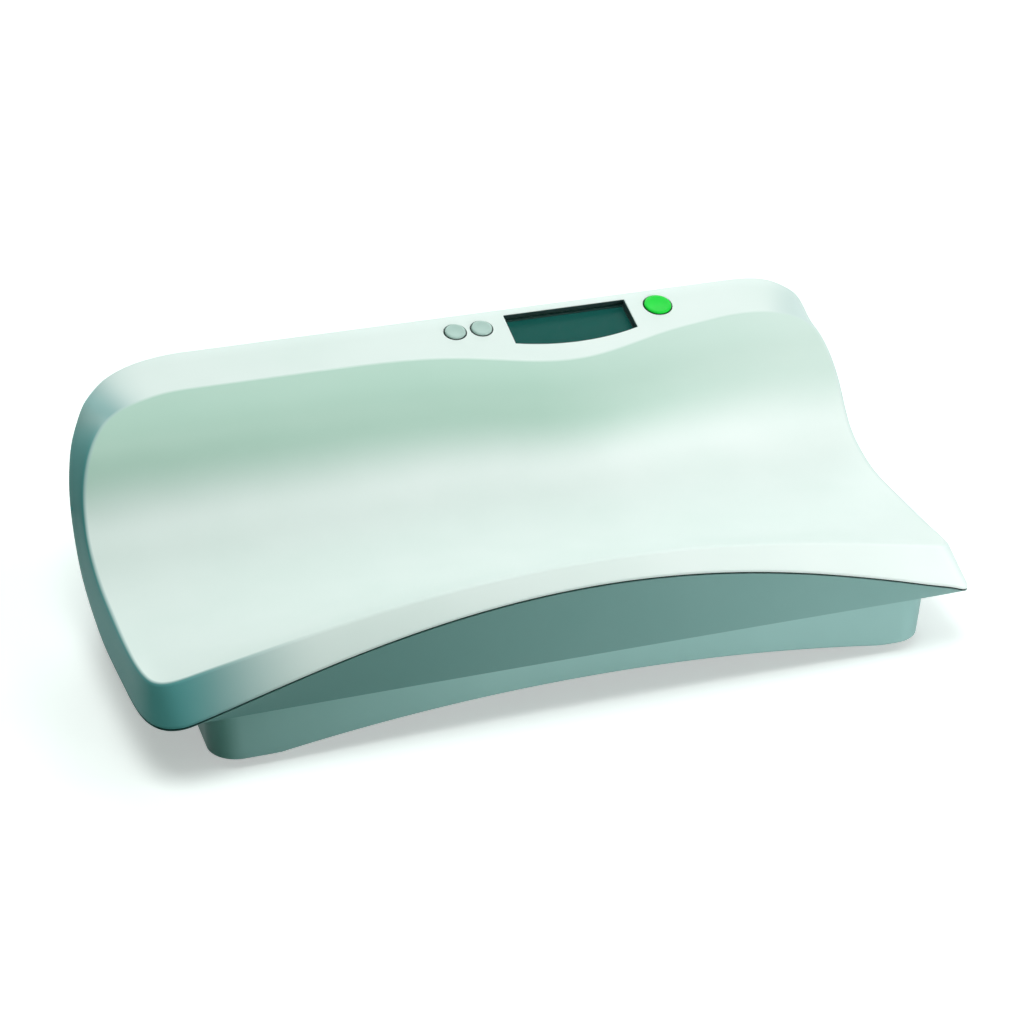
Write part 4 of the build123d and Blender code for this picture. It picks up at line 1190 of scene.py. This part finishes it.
    def window_shade_liner(self) -> bpy.types.Object:
        """A dark foam lining on the walls of the window's opening, which paints the shade in the recess.

        Returns:
            The finished piece.
        """
        bm = self.window_outline()
        low, high = self.liner_z
        bmesh.ops.inset_region(bm, faces=bm.faces[:], thickness=self.liner_inset * MM, use_even_offset=True)
        inner = max(bm.faces, key=lambda face: len(face.verts))
        ring = list(inner.edges)
        bmesh.ops.delete(bm, geom=[face for face in bm.faces if face is not inner], context="FACES")
        bmesh.ops.delete(bm, geom=bm.faces[:], context="FACES_ONLY")
        lift(bm, bm.verts[:], low)
        raise_wall(bm, ring, high - low)
        bmesh.ops.transform(bm, matrix=self.console_place(0, 0), verts=bm.verts[:])
        piece = new_piece(bm, "window_shade_liner")
        thicken(piece, self.liner_wall)
        dress(piece, Finish.gasket_foam, Body.SCALE)
        return piece

    def window_cutter(self) -> bpy.types.Object:
        """A prism with the window's outline, chamfered where it passes the console's face.

        Returns:
            The closed cutter.
        """
        left, right = self.window_x
        top, low = self.window_v
        under, over = self.window_cut
        middle = Vector(((left + right) / 2 * MM, (top + low - self.window_sag) / 2 * MM, 0))
        bm = self.window_outline()
        lift(bm, bm.verts[:], -under)
        head, _ = push(bm, bm.faces[:][0], under - self.opening_chamfer, closed=True)
        widen = 2 * self.opening_chamfer
        head, rim = push(bm, head, widen)
        for vert in rim:
            across, along = vert.co.x - middle.x, vert.co.y - middle.y
            share = abs(across) / ((right - left) / 2 * MM)
            vert.co.x += math.copysign(min(widen * MM, abs(across)), across) * share
            vert.co.y += math.copysign(widen * MM, along)
        push(bm, head, over)
        bmesh.ops.transform(bm, matrix=self.console_place(0, 0), verts=bm.verts[:])
        return new_piece(bm, "window_cutter")

    def key_cutter(self, x: float, radius: float) -> bpy.types.Object:
        """A bar with the outline of one key's opening.

        Args:
            x: The key's place along the console.
            radius: The key's radius.

        Returns:
            The closed cutter.
        """
        bm = bmesh.new()
        under, over = self.key_cut
        round_bar(bm, self.console_place(x, self.key_row), radius + self.key_gap, -under, over, SIDES)
        return new_piece(bm, f"key_cutter_{int(x)}")

    def build(self) -> bpy.types.Object:
        """Makes the whole tray and dresses it.

        Returns:
            The finished piece.
        """
        piece = self.skin()
        thicken(piece, self.wall)
        carve(piece, [self.window_cutter()] + [self.key_cutter(x, radius) for x, radius in self.keys])
        dress(piece, Finish.tray_plastic, Body.SCALE)
        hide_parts("tray_shell")
        return piece


# ---------------------------------------------------------------- lower shell
@dataclass
class LowerShell:
    """The flared skirt under the tray and the base that stands on the feet."""

    tray: CradleTray
    wall: float = 3.0
    skirt_wall: float = 0.5     # under the flare's height at its ends, so that no inner face shows
    seam_gap: float = 1.4       # height of the groove between the shells
    groove: float = 1.8         # its depth
    flare_z: float = 40.0
    flare_in: float = 10.0      # how far the flare's foot lies in at the front
    flare_rings: tuple = (0.33, 0.67, 1.0)
    flare_painted_shade: float = 0.2     # share of painted shade at the flare's right end
    flare_fade: float = 280.0   # half the length over which it becomes full
    end_lean: float = 0.42
    rear_lean: float = 0.535
    corner_x: float = 204.5     # centres of the underside's rear corners
    corner_y: float = 43.5
    corner_round: float = 64.5
    corner_fade: float = 30.0   # how soon the corner takes over from the end
    inner_edge: float = 8.0     # from the base's sides to the underside's inner edge
    base_x: tuple = (-238.0, 247.0)
    base_y: tuple = (-144.0, 108.0)
    base_round: float = 20.0
    base_rear_round: float = 38.0
    base_round_steps: int = 14
    base_draft: float = 3.0
    bottom_z: float = 7.4
    arch_rise: float = 16.6     # of the bottom's middle over its ends
    arch_half: float = 205.0
    arch_cuts: int = 63         # cuts across the base, so that its bottom can bend
    arch_cut_in: float = 14.0   # from the base's ends to the first of them
    tuck: float = 1.5           # how far the base goes up inside the skirt
    edge_round: float = 1.6
    edge_angle: float = 0.9     # radians that the faces along the bottom's edge turn at least
    left_painted_shade: float = 0.5      # share of painted shade that the base's left part darkens to
    left_shade_until: float = -60.0
    right_painted_shade: float = 0.75    # share of painted shade at its right end
    feet_x: tuple = (-195.0, 214.0)
    feet_y: tuple = (-111.0, 75.0)
    foot_hole: float = 19.5
    foot_cut: float = 20.0      # how far the cutters of the feet's holes reach up
    screw_hole: float = 3.5
    screw_cut: float = 34.0
    sleeve_wall: float = 1.7
    sleeve_top: float = 46.0
    sleeve_from: tuple = (1.0, 0.5)         # from the base's and the flare's outside up to a sleeve
    on_base: float = 200.0      # towers nearer the middle stand on the base, the others on the flare
    end_towers: tuple = ((-253, 253), (-79.8, 43.8))
    side_towers: tuple = ((-105, 105), (-126, 90))
    battery_middle: tuple = (9.5, -14.0)
    frame_size: tuple = (80.6, 73.0)
    recess_size: tuple = (69.2, 61.6)
    opening_size: tuple = (60.6, 53.0)
    frame_z: tuple = (23.4, 26.7, 30.0)     # lower face, ledge for the door, upper face
    frame_left: float = 0.01    # what is left of its height before the opening is bridged
    bay_cut: float = 40.0       # height of the cutter that the frame stands in

    def foot(self, top: np.ndarray) -> np.ndarray:
        """Where the flare meets its flat underside.

        Args:
            top: The flare's upper edge, row by row.

        Returns:
            As many rows.
        """
        out = outward(top)
        tall = top[:, 2] - self.flare_z
        shift_y = np.where(out[:, 1] < 0, out[:, 1] * self.flare_in, out[:, 1] * self.rear_lean * tall)
        foot = top - np.column_stack([out[:, 0] * self.end_lean * tall, shift_y, tall])
        for side in (-1, 1):
            way = top[:, :2] - np.array([side * self.corner_x, self.corner_y])
            ahead = way / np.linalg.norm(way, axis=1)[:, None]
            behind = (way[:, 0] * side > 0) & (way[:, 1] > 0)
            first = np.argmax(np.where(behind, ahead[:, 0] * side, -1.0))
            extra = abs(foot[first, 0]) - self.corner_x - self.corner_round
            reach = self.corner_round + extra * np.clip(ahead[:, 0] * side, 0, 1) ** self.corner_fade
            corner = np.array([side * self.corner_x, self.corner_y]) + ahead * reach[:, None]
            foot[behind, :2] = corner[behind]
        return foot

    def skirt(self) -> bpy.types.Object:
        """Grows the flare from the seam down to its flat underside.

        Returns:
            The finished piece.
        """
        seam = self.tray.seam()
        top = seam - np.array([0, 0, self.seam_gap])
        foot = self.foot(top)
        # painted shade on the flare: light at its right end, full towards the left
        left = np.clip((self.flare_fade - top[:, 0]) / (2 * self.flare_fade), 0, 1)
        tone = self.flare_painted_shade + (1 - self.flare_painted_shade) * left
        groove = np.column_stack([top[:, :2] - outward(top) * self.groove, top[:, 2]])
        # the groove's two rings carry full painted hollow shade, near black, where its real shade falls
        bare, full = np.zeros(len(top)), np.ones(len(top))
        skin = RingSkin(groove + np.array([0, 0, self.seam_gap]), bare, full)
        skin.grow(groove, bare, full)
        skin.grow(top, tone, bare)
        for share in self.flare_rings:
            skin.grow(top + (foot - top) * share, tone, bare)
        low, high = np.transpose([self.base_x, self.base_y])
        inner = np.clip(foot[:, :2], low + self.inner_edge, high - self.inner_edge)
        skin.grow(np.column_stack([inner, foot[:, 2]]), tone, bare)
        piece = new_piece(skin.bm, "flared_skirt", 0.05)
        thicken(piece, self.skirt_wall)
        dress(piece, Finish.base_plastic, Body.SCALE, 25.0)
        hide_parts("lower_shell")
        return piece

    def bottom(self, x: float) -> float:
        """Height of the base's arched bottom at a place along it."""
        offset = min(abs(x - self.battery_middle[0]) / self.arch_half, 1.0)
        return self.bottom_z + self.arch_rise * (1 - offset**2)

    def base_painted_shade(self, x: float) -> float:
        """Share of painted shade along the base: darker towards the left and at both ends.

        Args:
            x: Place along the base.

        Returns:
            The share.
        """
        left, right = self.base_x
        slow = self.left_painted_shade * (self.left_shade_until - x) / (self.left_shade_until - left)
        near = (left + self.base_round - x) / self.base_round
        far = self.right_painted_shade * (x - right + self.base_round) / self.base_round
        return min(max(slow, near, far, 0.0), 1.0)

    def base_plan(self) -> tuple[tuple[float, float], tuple[float, float]]:
        """The middle of the base's outline, and half its length and depth."""
        (left, right), (front, rear) = self.base_x, self.base_y
        return ((left + right) / 2, (front + rear) / 2), ((right - left) / 2, (rear - front) / 2)

    def base_block(self) -> bmesh.types.BMesh:
        """A block with the base's rounded outline, cut across so that its bottom can bend.

        Returns:
            The block, whose bottom is still flat.
        """
        (middle_x, middle_y), (half_x, half_y) = self.base_plan()
        bm = bmesh.new()
        bmesh.ops.create_grid(bm, x_segments=1, y_segments=1, size=1.0)
        bmesh.ops.scale(bm, vec=(half_x * MM, half_y * MM, 1), verts=bm.verts[:])
        ends = [(vert, self.base_rear_round if vert.co.y > 0 else self.base_round) for vert in bm.verts]
        for radius in (self.base_rear_round, self.base_round):
            corners = [vert for vert, wanted in ends if wanted == radius]
            soften(bm, corners, radius, self.base_round_steps, "VERTICES")
        up = Vector((0, 0, (self.flare_z + self.tuck) * MM))
        bmesh.ops.translate(bm, vec=Vector((middle_x, middle_y, 0)) * MM + up, verts=bm.verts[:])
        floor = bm.faces[:]
        for drop in (self.tuck, self.flare_z - self.bottom_z):
            made = bmesh.ops.extrude_face_region(bm, geom=floor)
            floor = fresh(made, bmesh.types.BMFace)
            lift(bm, fresh(made, bmesh.types.BMVert), -drop)
        left, right = self.base_x
        for cut in np.linspace(left + self.arch_cut_in, right - self.arch_cut_in, self.arch_cuts):
            whole = bm.verts[:] + bm.edges[:] + bm.faces[:]
            bmesh.ops.bisect_plane(bm, geom=whole, plane_co=(cut * MM, 0, 0), plane_no=(1, 0, 0))
        return bm

    def arch_bottom(self, bm: bmesh.types.BMesh) -> None:
        """Bends the block's bottom, drafts its sides and rounds the edge between them.

        Args:
            bm: The block.
        """
        (middle_x, middle_y), (half_x, half_y) = self.base_plan()
        draft = math.tan(math.radians(self.base_draft))
        low = [vert for vert in bm.verts if vert.co.z < (self.bottom_z + self.flare_z) / 2 * MM]
        for vert in low:
            vert.co.z = self.bottom(vert.co.x / MM) * MM
            inset = draft * (self.flare_z - vert.co.z / MM)
            vert.co.x = (middle_x + (vert.co.x / MM - middle_x) * (1 - inset / half_x)) * MM
            vert.co.y = (middle_y + (vert.co.y / MM - middle_y) * (1 - inset / half_y)) * MM
        marked = set(low)
        rim = [
            edge
            for edge in bm.edges
            if marked.issuperset(edge.verts) and edge.calc_face_angle(0) > self.edge_angle
        ]
        soften(bm, rim, self.edge_round, 3)

    def base(self) -> bpy.types.Object:
        """Moulds the base: a rounded block with drafted sides, an arched bottom and its openings.

        Returns:
            The finished piece.
        """
        bm = self.base_block()
        self.arch_bottom(bm)
        # painted shade along the base
        shaded = bm.verts.layers.float.new("shaded")
        for vert in bm.verts:
            vert[shaded] = self.base_painted_shade(vert.co.x / MM)
        piece = new_piece(bm, "base_pan", 0.005)
        thicken(piece, self.wall)
        carve(piece, self.floor_cutters())
        dress(piece, Finish.base_plastic, Body.SCALE, 30.0)
        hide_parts("lower_shell")
        return piece

    def tower_places(self) -> list[tuple[float, float]]:
        """Where the housing screws stand: four at the ends, then four along the sides."""
        ends = [(x, y) for x in self.end_towers[0] for y in self.end_towers[1]]
        return ends + [(x, y) for y in self.side_towers[1] for x in self.side_towers[0]]

    def floor_cutters(self) -> list[bpy.types.Object]:
        """Cutters for the feet, the screws and the battery bay.

        Returns:
            Closed cutters.
        """
        bm = bmesh.new()
        for x in self.feet_x:
            for y in self.feet_y:
                round_bar(bm, moved(x, y), self.foot_hole, 0, self.foot_cut, SIDES)
        for x, y in self.tower_places():
            if abs(x) < self.on_base:
                round_bar(bm, moved(x, y), self.screw_hole, 0, self.screw_cut, SCREW_SIDES)
        holes = new_piece(bm, "hole_cutter")
        bm = bmesh.new()
        add_block(bm, (*self.frame_size, self.bay_cut), moved(*self.battery_middle, self.bay_cut / 2))
        return [holes, new_piece(bm, "bay_cutter")]

    def battery_frame(self) -> bpy.types.Object:
        """The frame of the battery opening, with the recess that the door lies in.

        Returns:
            The finished piece.
        """
        low, step, high = self.frame_z
        bm = bmesh.new()
        add_block(bm, (*self.frame_size, high - low), moved(*self.battery_middle, (high + low) / 2))
        lower = min(bm.faces, key=lambda face: face.calc_center_median().z)
        steps = ((self.recess_size, step - low), (self.opening_size, high - step - self.frame_left))
        for size, rise in steps:
            outer = max(vert.co.x for vert in lower.verts) - min(vert.co.x for vert in lower.verts)
            inset = outer / 2 - size[0] / 2 * MM
            bmesh.ops.inset_region(bm, faces=[lower], thickness=inset, use_even_offset=True)
            lower, _ = push(bm, lower, rise)
        upper = max(bm.faces, key=lambda face: face.calc_center_median().z)
        inset = (self.frame_size[0] - self.opening_size[0]) / 2 * MM
        bmesh.ops.inset_region(bm, faces=[upper], thickness=inset, use_even_offset=True)
        rims = list(upper.edges) + list(lower.edges)
        bmesh.ops.delete(bm, geom=[upper, lower], context="FACES_ONLY")
        bmesh.ops.bridge_loops(bm, edges=rims)
        piece = new_piece(bm, "battery_bay_frame")
        dress(piece, Finish.base_plastic, Body.SCALE)
        return piece

    def screw_sleeves(self) -> bpy.types.Object:
        """The sleeves that the housing screws sink into.

        Returns:
            The finished piece.
        """
        bm = bmesh.new()
        over_base, over_flare = self.sleeve_from
        for x, y in self.tower_places():
            low = self.bottom(x) + over_base if abs(x) < self.on_base else self.flare_z + over_flare
            made = bmesh.ops.create_circle(
                bm, segments=SCREW_SIDES, radius=self.screw_hole * MM, matrix=moved(x, y, low)
            )
            ring = {edge for vert in made["verts"] for edge in vert.link_edges}
            raise_wall(bm, list(ring), self.sleeve_top - low)
        piece = new_piece(bm, "screw_sleeves")
        thicken(piece, self.sleeve_wall, 1.0)
        dress(piece, Finish.base_plastic, Body.SCALE)
        return piece

    def build(self) -> list[bpy.types.Object]:
        """Makes the lower shell's pieces.

        Returns:
            The finished pieces.
        """
        return [self.skirt(), self.base(), self.battery_frame(), self.screw_sleeves()]


# ---------------------------------------------------------------- keys
@dataclass
class PressKey:
    """A round key with a shallow dish, turned about its own axis, with its flange and stem."""

    tray: CradleTray
    name: str
    body: Body
    finish: Finish
    x: float
    radius: float
    proud: float = 1.3
    dish: float = 0.35
    dish_bends: tuple = ((0.45, 0.75), (0.8, 0.25))     # shares of the way out and of the dish left
    brow: float = 1.1           # how wide the rounded edge is
    brow_bends: tuple = ((0.5, 0.07), (0.85, 0.4), (1.0, 1.0))  # shares of it outwards and down
    shade_from: float = 0.15    # height under which its side gets the gap's painted shade
    shade_step: float = 0.2     # height over which the painted shade sets in
    flange: float = 1.4
    depths: tuple = (3.3, 4.5, 8.1, 10.7)  # of the flange's two faces, the stem's shoulder and its tip
    stem: float = 2.4
    tip: float = 1.6

    def profile(self) -> list[tuple[float, float]]:
        """Half outline from the top's middle to the tip.

        Returns:
            Pairs of radius and height.
        """
        edge = self.radius - self.brow
        face, flange, shoulder, end = (-depth for depth in self.depths)
        return [
            (0.0, self.proud - self.dish),
            *((out * edge, self.proud - left * self.dish) for out, left in self.dish_bends),
            (edge, self.proud),
            *((edge + out * self.brow, self.proud - down * self.brow) for out, down in self.brow_bends),
            (self.radius, self.shade_from),
            (self.radius, self.shade_from - self.shade_step),
            (self.radius, face),
            (self.radius + self.flange, face),
            (self.radius + self.flange, flange),
            (self.stem, flange),
            (self.stem, shoulder),
            (self.tip, shoulder),
            (self.tip, end),
            (0.0, end),
        ]

    def build(self) -> bpy.types.Object:
        """Turns the outline into the key.

        Returns:
            The finished piece.
        """
        bm = bmesh.new()
        line = [bm.verts.new((radius * MM, 0, height * MM)) for radius, height in self.profile()]
        edges = [bm.edges.new(pair) for pair in zip(line, line[1:])]
        bmesh.ops.spin(
            bm,
            geom=line + edges,
            cent=(0, 0, 0),
            axis=(0, 0, 1),
            angle=math.tau,
            steps=SIDES,
            use_merge=True,
        )
        # the key's side below the console face gets painted shade
        sunken = bm.verts.layers.float.new("sunken")
        for vert in bm.verts:
            vert[sunken] = float(vert.co.z < (self.shade_from - self.shade_step / 2) * MM)
        bmesh.ops.transform(bm, matrix=self.tray.console_place(self.x, self.tray.key_row), verts=bm.verts[:])
        piece = new_piece(bm, f"{self.name}_cap")
        dress(piece, self.finish, self.body, 40.0)
        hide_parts(self.name)
        return piece


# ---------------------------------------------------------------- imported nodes
@dataclass
class Fitments:
    """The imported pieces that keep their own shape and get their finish."""

    nodes: dict
    plan: tuple = (
        (Finish.base_plastic, ("lower_shell", "battery_door")),
        (Finish.tray_plastic, ("tray_shell",)),
        (Finish.pad_rubber, ("foot_pad_",)),
        (Finish.cup_plastic, ("foot_cup_",)),
        (Finish.wire_jacket, ("load_cell_wire_",)),
        (Finish.screw_steel, ("load_cell_screws", "housing_screws")),
        (Finish.screw_steel, ("display_board_screws", "junction_board_screws")),
        (Finish.cell_steel, ("load_cell_",)),
        (Finish.gauge_seal, ("gauge_covers",)),
        (Finish.gasket_foam, ("window_gasket",)),
        (Finish.window_clear, ("display_window",)),
        (Finish.lcd_glass, ("display_glass",)),
        (Finish.carrier_plastic, ("display_carrier",)),
        (Finish.strip_rubber, ("contact_strips",)),
        (Finish.board_laminate, ("display_board", "junction_board")),
        (Finish.chip_epoxy, ("display_components", "junction_components")),
        (Finish.switch_plastic, ("key_switches",)),
        (Finish.key_grey, ("net_button", "hold_button")),
        (Finish.key_green, ("start_button",)),
        (Finish.case_plastic, ("battery_case",)),
        (Finish.contact_nickel, ("battery_contacts",)),
        (Finish.lead_jacket, ("battery_leads",)),
        (Finish.signal_jacket, ("signal_cable",)),
        (Finish.battery_jacket, ("battery_",)),
    )

    def finish_of(self, name: str) -> Finish:
        """The finish of a node, by its whole name first and else by how its name starts.

        Args:
            name: The node's name.

        Returns:
            Its finish.
        """
        known = {entry: finish for finish, names in self.plan for entry in names}
        if name in known:
            return known[name]
        return next(known[start] for start in known if start.endswith("_") and name.startswith(start))

    def build(self) -> int:
        """Dresses every node.

        Returns:
            How many were dressed.
        """
        for name, node in self.nodes.items():
            finish = self.finish_of(name)
            node.data.materials.clear()
            node.data.materials.append(finished(finish))
        return len(self.nodes)


# ---------------------------------------------------------------- studio
@dataclass(frozen=True)
class Lamp:
    """A soft square lamp that looks at the scale."""

    name: str
    place: tuple                # in metres, as are its size and aim
    size: float
    power: float                # in watts
    colour: str
    aim: tuple = (0.0, 0.0, 0.07)

    def hang(self) -> None:
        """Hangs the lamp."""
        light = bpy.data.lights.new(self.name, "AREA")
        light.shape = "SQUARE"
        light.size = self.size
        light.energy = self.power
        light.color = linear(self.colour)[:3]
        lamp = bpy.data.objects.new(self.name, light)
        bpy.context.scene.collection.objects.link(lamp)
        lamp.location = self.place
        lamp.rotation_mode = "QUATERNION"
        lamp.rotation_quaternion = (Vector(self.aim) - Vector(self.place)).to_track_quat("-Z", "Y")


@dataclass
class Studio:
    """A white sweep, soft lamps above, behind and at the right, a dim green room and the camera."""

    camera_elevation: float = 28.0
    camera_turn: float = 18.336
    camera_far: float = 1745.41
    camera_target: tuple = (1.9343, -4.0, 73.2301)
    lens: float = 91.609
    room: str = "#8FE0BC"
    room_strength: float = 0.13
    white: str = "#FFFFFF"
    paper: str = "#EDF1F0"      # the floor where it is seen
    dull: str = "#7F9F99"       # the floor where it lights the scale
    floor_half: float = 8.0     # half the floor's side, in metres
    glow_way: tuple = (0.4, 2.6)            # metres from the scale over which the floor's glow grows
    glow: tuple = (0.42, 1.0)
    lamps: tuple = (
        Lamp("key_lamp", (1.6, -0.5, 1.6), 1.3, 12.6, "#FFFBFE"),
        Lamp("low_lamp", (0.8, -0.8, 0.13), 0.4, 6.4, "#FFF8FA"),
        Lamp("rear_lamp", (0.67, 1.85, 1.45), 1.3, 21.5, "#F4FCFC"),
        Lamp("top_lamp", (-0.35, -0.5, 2.38), 1.3, 32.5, "#FBFFFD"),
    )

    def floor(self) -> bpy.types.Object:
        """Lays the white floor.

        Returns:
            The floor.
        """
        bm = bmesh.new()
        bmesh.ops.create_grid(bm, x_segments=1, y_segments=1, size=self.floor_half)
        piece = new_piece(bm, "studio_floor")
        material = bpy.data.materials.new("white_paper_sweep")
        tree = open_tree(material)
        paper = add_node(tree, "ShaderNodeBsdfDiffuse", {}, {"Color": linear(self.paper)})
        dull = add_node(tree, "ShaderNodeBsdfDiffuse", {}, {"Color": linear(self.dull)})
        place = add_node(tree, "ShaderNodeTexCoord").outputs["Object"]
        away = add_node(tree, "ShaderNodeVectorMath", {"operation": "LENGTH"}, {0: place})
        far = add_node(
            tree,
            "ShaderNodeMapRange",
            {"interpolation_type": "SMOOTHSTEP"},
            {
                "Value": away.outputs["Value"],
                "From Min": self.glow_way[0],
                "From Max": self.glow_way[1],
                "To Min": self.glow[0],
                "To Max": self.glow[1],
            },
        )
        glow = add_node(
            tree, "ShaderNodeEmission", {}, {"Color": linear(self.white), "Strength": far.outputs[0]}
        )
        seen = add_node(tree, "ShaderNodeAddShader", {}, {0: paper.outputs[0], 1: glow.outputs[0]})
        end_background(tree, "ShaderNodeOutputMaterial", dull, seen)
        piece.data.materials.append(material)
        return piece

    def sky(self) -> None:
        """Sets the room: white where it is seen, dim and cool where it lights the scale."""
        world = bpy.data.worlds.new("studio_room")
        bpy.context.scene.world = world
        tree = open_tree(world)
        dim = add_node(
            tree, "ShaderNodeBackground", {}, {"Color": linear(self.room), "Strength": self.room_strength}
        )
        plain = add_node(tree, "ShaderNodeBackground", {}, {"Color": linear(self.white), "Strength": 1.0})
        end_background(tree, "ShaderNodeOutputWorld", dim, plain)

    def camera(self) -> bpy.types.Object:
        """Places the camera.

        Returns:
            The camera, set as the scene's own.
        """
        rise, turn = math.radians(self.camera_elevation), math.radians(self.camera_turn)
        back = Vector((-math.sin(turn) * math.cos(rise), -math.cos(turn) * math.cos(rise), math.sin(rise)))
        lens = bpy.data.cameras.new("studio_camera")
        lens.lens = self.lens
        lens.sensor_width = 36.0
        lens.clip_end = 50.0
        camera = bpy.data.objects.new("studio_camera", lens)
        bpy.context.scene.collection.objects.link(camera)
        camera.location = (Vector(self.camera_target) + back * self.camera_far) * MM
        camera.rotation_mode = "QUATERNION"
        camera.rotation_quaternion = (-back).to_track_quat("-Z", "Y")
        bpy.context.scene.camera = camera
        return camera

    def build(self) -> None:
        """Sets up the whole studio."""
        self.camera()
        self.floor()
        self.sky()
        for lamp in self.lamps:
            lamp.hang()
        bpy.context.scene.view_settings.view_transform = "Standard"


def main() -> None:
    """Builds the scale and its studio in order."""
    logging.basicConfig(level=logging.INFO, format="%(name)s: %(message)s")
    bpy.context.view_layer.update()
    count = Fitments(frame["nodes"]).build()
    LOG.info("dressed %d packed nodes", count)
    form = CradleForm()
    tray = CradleTray(form, RimLine(form))
    for piece in (tray.build(), tray.window_shade_liner()):
        LOG.info("made %s", piece.name)
    for piece in LowerShell(tray).build():
        LOG.info("made %s", piece.name)
    for name, body, finish, (x, radius) in (
        ("net_button", Body.NET, Finish.key_grey, tray.keys[0]),
        ("hold_button", Body.HOLD, Finish.key_grey, tray.keys[1]),
        ("start_button", Body.START, Finish.key_green, tray.keys[2]),
    ):
        LOG.info("made %s", PressKey(tray, name, body, finish, x, radius).build().name)
    Studio().build()


if __name__ == "__main__":
    main()
